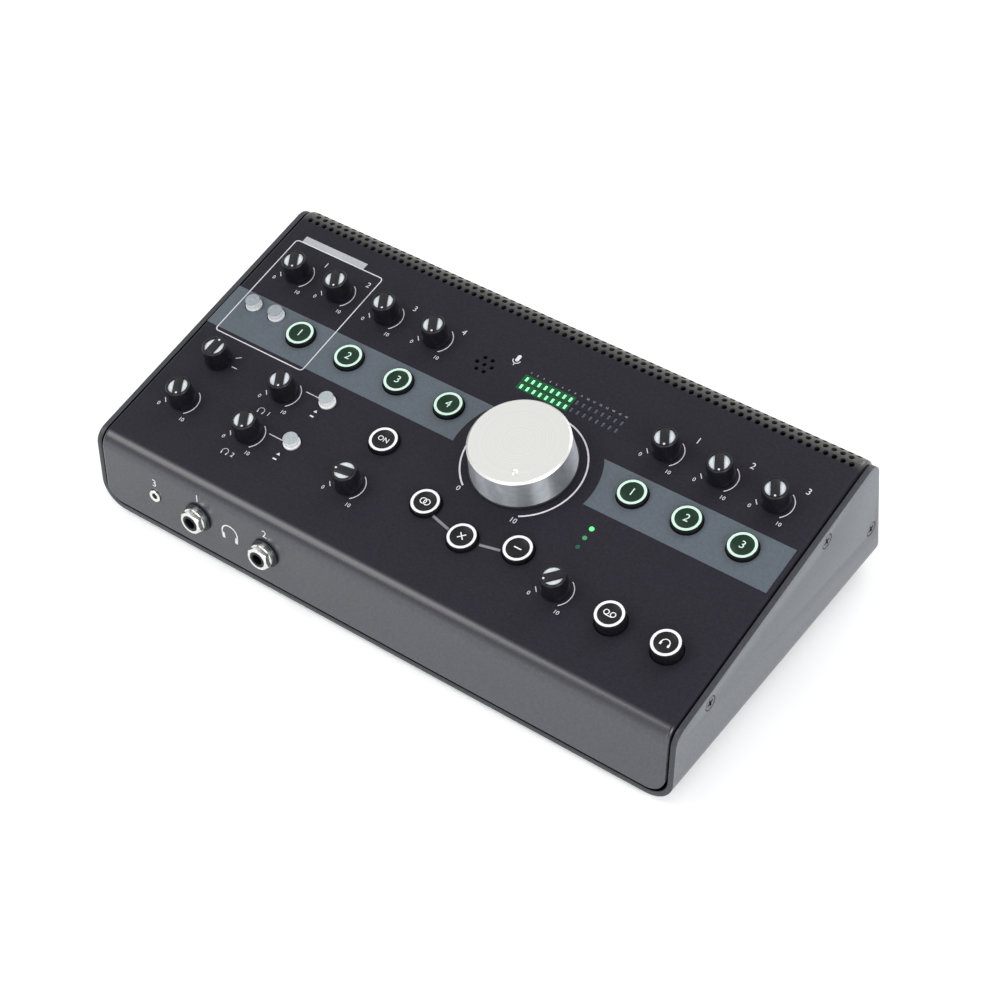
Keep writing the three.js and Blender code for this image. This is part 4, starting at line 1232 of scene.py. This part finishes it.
class CONTROLLER_OT_printing(bpy.types.Operator):
    """Band, dials, figures and lines printed on the panel and the front, and a painted glow round the lit
    meter windows
    """

    bl_idname = "controller.printing"
    bl_label = "Printing"

    def execute(self, context):
        height = sizes().print_height
        prints = []
        for make, finish, face, level in (
            (self.band, "band", PANEL, height - INK),
            (self.white_lines, "ink", PANEL, height + INK),
            (self.grey_lines, "ink_grey", PANEL, height + INK),
            (self.pale_marks, "ink_pale", PANEL, height + INK),
            (self.front_marks, "ink", FRONT, height),
            (self.meter_glow, "glow", PANEL, height - INK),
        ):
            piece = make()
            paint(piece, FINISHES[finish])
            settle(piece, at(face, 0, 0, level))
            prints.append(piece)
        for piece in prints:
            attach(piece, HOUSING)
        return {"FINISHED"}

    def band(self):
        """The band in its two parts, bowed round the volume knob, with holes for the buttons and switches."""
        low, high = BAND_EDGES
        left, right = BAND_ENDS
        start, end = math.asin(low / BAND_BOW), math.asin(high / BAND_BOW)
        steps = 16
        turns = [start + (end - start) * i / steps for i in range(steps + 1)]
        bow = [(BAND_BOW * math.cos(t), BAND_BOW * math.sin(t)) for t in turns]
        left_loop = [(left, low)] + [(VOLUME_X - x, y) for x, y in bow] + [(left, high)]
        right_loop = [(right, high)] + [(VOLUME_X + x, y) for x, y in reversed(bow)] + [(right, low)]
        left_loops, right_loops = [left_loop], [right_loop]
        for nodes, radius in ((BUTTONS, BUTTON_HOLE + 0.05), (SWITCHES, SWITCH_HOLE)):
            for x, y in map(middle_of, nodes):
                if low < y < high:
                    (left_loops if x < VOLUME_X else right_loops).append(circle_loop((x, y), radius))
        pieces = [outline_piece("band_left", left_loops), outline_piece("band_right", right_loops)]
        return merged(pieces, "printed_band")

    def meter_glow(self):
        """Strips round the lit windows of each row that glow green: painted light spilled from the meter's
        lamps.
        """
        half_width, half_height = METER_WINDOW[0] / 2, METER_WINDOW[1] / 2
        strips = []
        for row in (0, 1):
            places = meter_places()[METER_COLUMNS * row :][:METER_LIT]
            left, right, y = places[0][0] - 2.2, places[-1][0] + 2.2, places[0][1]
            loops = [box_loop(left, y - 2.4, right, y + 2.4)]
            for x, _ in places:
                loops.append(box_loop(x - half_width, y - half_height, x + half_width, y + half_height))
            strips.append(outline_piece("strip", loops))
        return merged(strips, "meter_painted_glow_strips")

    def headphones(self, x, y, size):
        """Headphones: an arch with an ear cup at each end."""
        loops = [arc_loop((x, y), size, size * 0.16, -112, 112)]
        for side in (-1, 1):
            ear = x + side * size * 0.91
            low = (ear - side * size * 0.1, y - size * 0.93)
            loops.append(stroke_loop((ear, y - size * 0.2), low, size * 0.36))
        return outline_pieces(loops)

    def signs(self):
        """Headphones and figures by the phones knobs, two marks by each phones switch, and a microphone."""
        pieces = []
        for figure, y in (("1", -40.6), ("2", -71.6)):
            pieces += self.headphones(-113.5, y, 1.9)
            pieces.append(text_piece(figure, 2.8, (-108.5, y)))
        left, right = -88.2, -85.8
        for y in (-26.6, -58.7):
            arrow = [(left, y - 0.8), (right, y - 0.8), ((left + right) / 2, y + 1.0)]
            pieces += outline_pieces([arrow, stroke_loop((left, y - 3.6), (right, y - 3.6), 0.9)])
        x, y = -12.5, 55.5
        capsule = rounded_loop(x - 1.1, y - 2.3, x + 1.1, y + 2.3, 1.1)
        holder = arc_loop((x, y - 1.4), 2.2, LINE, 90, 270)
        return pieces + outline_pieces([capsule, holder, stroke_loop((x, y - 3.5), (x, y - 5.2), LINE)])

    def dial(self, x, y):
        """A small knob's scale: an arc on the right, a stroke at the lower left, and the figures 0 and 10."""
        arc = arc_loop((x, y), 9.3, LINE, 30, 140)
        pieces = outline_pieces([arc, stroke_loop((x - 9.9, y - 3.4), (x - 7.7, y - 5.8), LINE)])
        figures = (("0", (x - 10.8, y - 8.2)), ("10", (x + 7.6, y - 10.8)))
        return pieces + [text_piece(figure, 2.3, place) for figure, place in figures]

    def source_ticks(self, x, y):
        """Two strokes that point away from the cue source knob."""
        loops = []
        for angle in (52, 90):
            away = math.radians(angle)
            near, far = ((x + reach * math.sin(away), y + reach * math.cos(away)) for reach in (9, 12.5))
            loops.append(stroke_loop(near, far, LINE))
        return outline_pieces(loops)

    def white_lines(self):
        """The preamp's frame, the scales, figures and signs, and a line to each phones switch."""
        pieces = self.signs()
        half = 0.3
        frame_loops = [
            rounded_loop(-172.5 - out, -8.5 - out, -111.2 + out, 65.3 + out, 2 + out) for out in (half, -half)
        ]
        pieces.append(outline_piece("preamp_frame", frame_loops))
        for node, (x, y, turn) in KNOBS.items():
            pieces += self.source_ticks(x, y) if node == "cue_source_knob" else self.dial(x, y)
        pieces += outline_pieces([arc_loop((VOLUME_X, 0), 33.3, 0.9, -144, 150, 120)])
        for figure, height, place in (
            ("0", 3.0, (VOLUME_X - 20.6, -29.6)),
            ("10", 3.0, (VOLUME_X + 15.8, -32.2)),
            ("1", 3.5, (-145.6, 57.8)),
            ("2", 3.5, (-115.6, 57.6)),
            ("3", 3.5, (-82.2, 56.4)),
            ("4", 3.5, (-48.6, 55.8)),
            ("1", 3.8, (100.4, 55.6)),
            ("2", 3.8, (132.9, 55.6)),
            ("3", 3.8, (165.4, 55.6)),
        ):
            pieces.append(text_piece(figure, height, place))
        to_switches = [stroke_loop((-99.8, y), (-90.6, y), LINE) for y in (-18.6, -50.7)]
        return merged(pieces + outline_pieces(to_switches), "printed_lines_white")

    def grey_lines(self):
        """Two strokes that join the mono, mute and dim buttons."""
        ends = (((8.3, -50.2), (20.2, -53.0)), ((39.4, -53.0), (50.8, -50.4)))
        strokes = [stroke_loop(near, far, 1.5) for near, far in ends]
        return merged(outline_pieces(strokes), "printed_lines_grey")

    def pale_marks(self):
        """The bare label bar, and the figures over the meter's columns."""
        pieces = outline_pieces([box_loop(-169.0, 65.6, -125.4, 69.9)])
        for number, (x, y) in enumerate(meter_places()[:METER_COLUMNS], 1):
            pieces.append(text_piece(str(number), 1.2, (x, 50.6)))
        return merged(pieces, "printed_pale_marks")

    def front_marks(self):
        """The front's figures, and headphones between the two phones sockets."""
        pieces = [text_piece(figure, 4.6, (x, 39.6)) for figure, x in (("1", -112.8), ("2", -66.6))]
        pieces += self.headphones(-91.2, 26.6, 5.2)
        return merged(pieces + [text_piece("3", 4.8, (-143.5, 34.0))], "printed_front_marks")


class CONTROLLER_OT_fittings(bpy.types.Operator):
    """Meter, lamps, microphone, sockets and boards"""

    bl_idname = "controller.fittings"
    bl_label = "Fittings"

    def execute(self, context):
        for node, finish in (
            ("control_board", "board"),
            ("main_board", "board"),
            ("volume_control", "zinc"),
            ("talkback_microphone", "zinc"),
        ):
            paint(frame["nodes"][node], FINISHES[finish])
        self.meter()
        self.lamps()
        for number in (1, 2):
            self.phones(number)
            self.combo(number)
        self.small_socket()
        self.rear_jacks()
        self.usb()
        self.inlet()
        self.power_switch()
        return {"FINISHED"}

    def meter(self):
        """A light guide with a lens in each window."""
        lens = slab("lens", (1.5, 2.9, 1.5), (0, 0, -0.95), 0.1, 2)
        lenses = merged(copies(lens, [at(PANEL, x, y) for x, y in meter_places()]), "lenses")
        paint(lenses, FINISHES["meter"])
        holder = dressed_copy("level_meter", "holder")
        paint(holder, FINISHES["socket"])
        stand_for(merged([lenses, holder], "meter_light_guide"), "level_meter")

    def lamps(self):
        for number, (place, finish) in enumerate(zip(LAMPS, ("lamp_on", "lamp_dim", "lamp_off")), 1):
            lens = turned(f"status_lamp_{number}", [(1.35, -1.5), (1.35, 0.1), (1.1, 0.45), (0.6, 0.65)], 24)
            paint(lens, FINISHES[finish])
            settle(lens, at(PANEL, *place))
            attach(lens, HOUSING)

    def phones(self, number):
        """A phones socket, and the washer, collar and nut that clamp it to the front."""
        place = middle_of(f"phones_{number}_nut", FRONT)[0], PHONES_HEIGHT
        bore = 4.8
        washer = ring("washer", bore, 8.5, 0.3, 1.4)
        paint(washer, FINISHES["zinc"])
        collar = ring("collar", bore, 7.1, 1.4, 4.0)
        paint(collar, FINISHES["nickel"])
        nut = hexagon_nut("nut", 4.0, 7.0, bore, 48)
        stack = merged([washer, collar, nut], f"phones_{number}_clamp_nut")
        settle(stack, at(FRONT, *place, 0, 12))
        stand_for(stack, f"phones_{number}_nut")
        body = slab("socket_body", (15, 15, 24), (0, 0, -13.9), 0.4)
        profile = [(4.5, -2.5), (4.5, 7.0), (4.2, 7.3), (3.6, 7.3), (3.2, 6.9), (3.2, -20)]
        bush = turned("socket_bush", profile, 48)
        socket = merged([body, bush], f"phones_{number}_socket")
        paint(socket, FINISHES["knob"])
        settle(socket, at(FRONT, *place))
        stand_for(socket, f"phones_{number}_jack")

    def small_socket(self):
        """The small socket: a plated bush with a rounded mouth, and the body behind it."""
        profile = [(3.6, -2.5), (3.6, 0.8), (3.3, 1.2), (2.4, 1.2), (1.8, 0.9), (1.8, -12)]
        bush = turned("small_bush", profile, 40)
        body = slab("small_body", (8, 8, 14), (0, 0, -8.9), 0.3)
        paint(bush, FINISHES["nickel"])
        paint(body, FINISHES["knob"])
        socket = merged([bush, body], "small_phones_socket")
        settle(socket, at(FRONT, middle_of("small_phones_jack", FRONT)[0], SMALL_SOCKET_HEIGHT))
        stand_for(socket, "small_phones_jack")

    def rear_jacks(self):
        """Two rows of sockets on one board, each with its nut outside the rear face."""
        profile = [(4.4, -2.5), (4.4, 2.7), (4.1, 3.0), (3.5, 3.0), (3.2, 2.7), (3.2, -18)]
        jack = turned("jack", profile, 40)
        paint(jack, FINISHES["socket"])
        first = merged([jack, hexagon_nut("jack_nut", 0.3, 2.4, 4.5, 40)], "jack")
        places = rear_jack_places()
        pieces = copies(first, [at(REAR, x, y) for x, y in places])
        low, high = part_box("rear_jack_board")
        board = slab("board", ((high.x - low.x) / MM, 50.3, 1.6), (0, 0, 0))
        paint(board, FINISHES["board"])
        settle(board, at(REAR, middle_of("rear_jack_board", REAR)[0], 34.35, -22.7))
        for row in (0, 1):
            body = slab("jack_bodies", (139.2, 19.4, 20), (0, 0, 0), 0.4)
            paint(body, FINISHES["socket"])
            middle = (places[0][0] + places[JACK_COLUMNS - 1][0]) / 2
            settle(body, at(REAR, middle, places[JACK_COLUMNS * row][1], -11.9))
            pieces.append(body)
        stand_for(merged(pieces + [board], "rear_socket_board"), "rear_jack_board")

    def combo(self, number):
        """A combination socket: a plate with two screws, and a round face with a groove and contacts."""
        plate = slab("plate", (26, 31, 1.3), (0, 0, 0.95), 0.3)
        profile = [(11.6, -18), (11.6, 1.5), (11.3, 1.6), (9.9, 1.6), (9.7, 1.4), (9.7, -10), (8.2, -10)]
        profile += [(8.2, 0.6), (7.9, 0.9), (3.6, 0.9), (3.2, 0.5), (3.2, -16)]
        face = turned("face", profile, 56)
        cut_away(plate, turned("plate_hole", [(10.8, -1), (10.8, 3)], 56))
        paint(plate, FINISHES["socket"])
        paint(face, FINISHES["socket"])
        contact = turned("contact", [(1.2, -9), (1.2, 0.92), (0.9, 0.92), (0.7, 0.6), (0.7, -6)], 20)
        paint(contact, FINISHES["contact"])
        reach = 5.7 * MM
        turns = [math.radians(turn) for turn in (-30, 90, 210)]
        contacts = [Matrix.Translation((reach * math.cos(t), reach * math.sin(t), 0)) for t in turns]
        screw = turned("screw", [(1.9, 1.2), (1.9, 1.7), (1.5, 1.95)], 28)
        cut_away(screw, slab("slot", (2.6, 0.5, 1), (0, 0, 2.1)))
        paint(screw, FINISHES["zinc"])
        screws = [Matrix.Translation((x * MM, y * MM, 0)) for x, y in ((-9.5, 12), (9.5, -12))]
        latch = slab("latch", (4.6, 2.2, 0.5), (0, 12.9, 1.75), 0.15)
        paint(latch, FINISHES["nickel"])
        pieces = [plate, face] + copies(contact, contacts) + copies(screw, screws) + [latch]
        whole = merged(pieces, f"combination_socket_{number}")
        node = f"combo_socket_{number}"
        settle(whole, at(REAR, *middle_of(node, REAR)))
        stand_for(whole, node)

    def usb(self):
        """The USB socket: its plated shell with rounded edges, and the pale tongue inside."""
        shell = dressed_copy("usb_socket", "usb_shell", bevel=0.25)
        to_socket = at(REAR, *on_rear_row("usb_socket")).inverted()
        paint(shell, FINISHES["nickel"], FINISHES["collar"])
        for face in shell.data.polygons:
            middle = to_socket @ face.center / MM
            if abs(middle.x) < 2.81 and abs(middle.y) < 1.61 and middle.z > -8.8:
                face.material_index = 1
        stand_for(shell, "usb_socket")

    def inlet(self):
        """The power inlet: a round barrel with a pin in it."""
        profile = [(5.2, -21), (5.2, 0.0), (4.9, 0.3), (3.3, 0.3), (3.0, 0.0), (3.0, -10)]
        barrel = turned("barrel", profile, 48)
        pin = turned("pin", [(1, -11), (1, -0.9), (0.5, -0.3)], 20)
        paint(barrel, FINISHES["socket"])
        paint(pin, FINISHES["nickel"])
        whole = merged([barrel, pin], "power_socket")
        settle(whole, at(REAR, *on_rear_row("power_inlet")))
        stand_for(whole, "power_inlet")

    def power_switch(self):
        cap = slab("cap", (9, 9, 5.9), (0, 0, 1.05), 0.7)
        stem = turned("stem", [(2, -8.5), (2, -1)], 24)
        whole = merged([cap, stem], "power_push_button")
        paint(whole, FINISHES["cap_black"])
        settle(whole, at(REAR, *on_rear_row("power_button")))
        stand_for(whole, "power_button")


class CONTROLLER_PT_panel(bpy.types.Panel):
    bl_label = "Monitor Controller"
    bl_idname = "CONTROLLER_PT_panel"
    bl_space_type = "VIEW_3D"
    bl_region_type = "UI"
    bl_category = "Controller"

    def draw(self, context):
        layout = self.layout
        for group in (context.scene.controller_sizes, context.scene.controller_colours):
            for name in group.__annotations__:
                layout.prop(group, name)
        for operator in OPERATORS:
            layout.operator(operator.bl_idname)


OPERATORS = (
    CONTROLLER_OT_stage,
    CONTROLLER_OT_housing,
    CONTROLLER_OT_knobs,
    CONTROLLER_OT_buttons,
    CONTROLLER_OT_printing,
    CONTROLLER_OT_fittings,
)
CLASSES = (ControllerSizes, ControllerColours, *OPERATORS, CONTROLLER_PT_panel)


def register():
    for item in CLASSES:
        bpy.utils.register_class(item)
    bpy.types.Scene.controller_sizes = bpy.props.PointerProperty(type=ControllerSizes)
    bpy.types.Scene.controller_colours = bpy.props.PointerProperty(type=ControllerColours)


def unregister():
    del bpy.types.Scene.controller_sizes
    del bpy.types.Scene.controller_colours
    for item in reversed(CLASSES):
        bpy.utils.unregister_class(item)


def main():
    register()
    bpy.ops.controller.stage()
    bpy.ops.controller.housing()
    bpy.ops.controller.knobs()
    bpy.ops.controller.buttons()
    bpy.ops.controller.printing()
    bpy.ops.controller.fittings()


if __name__ == "__main__":
    main()
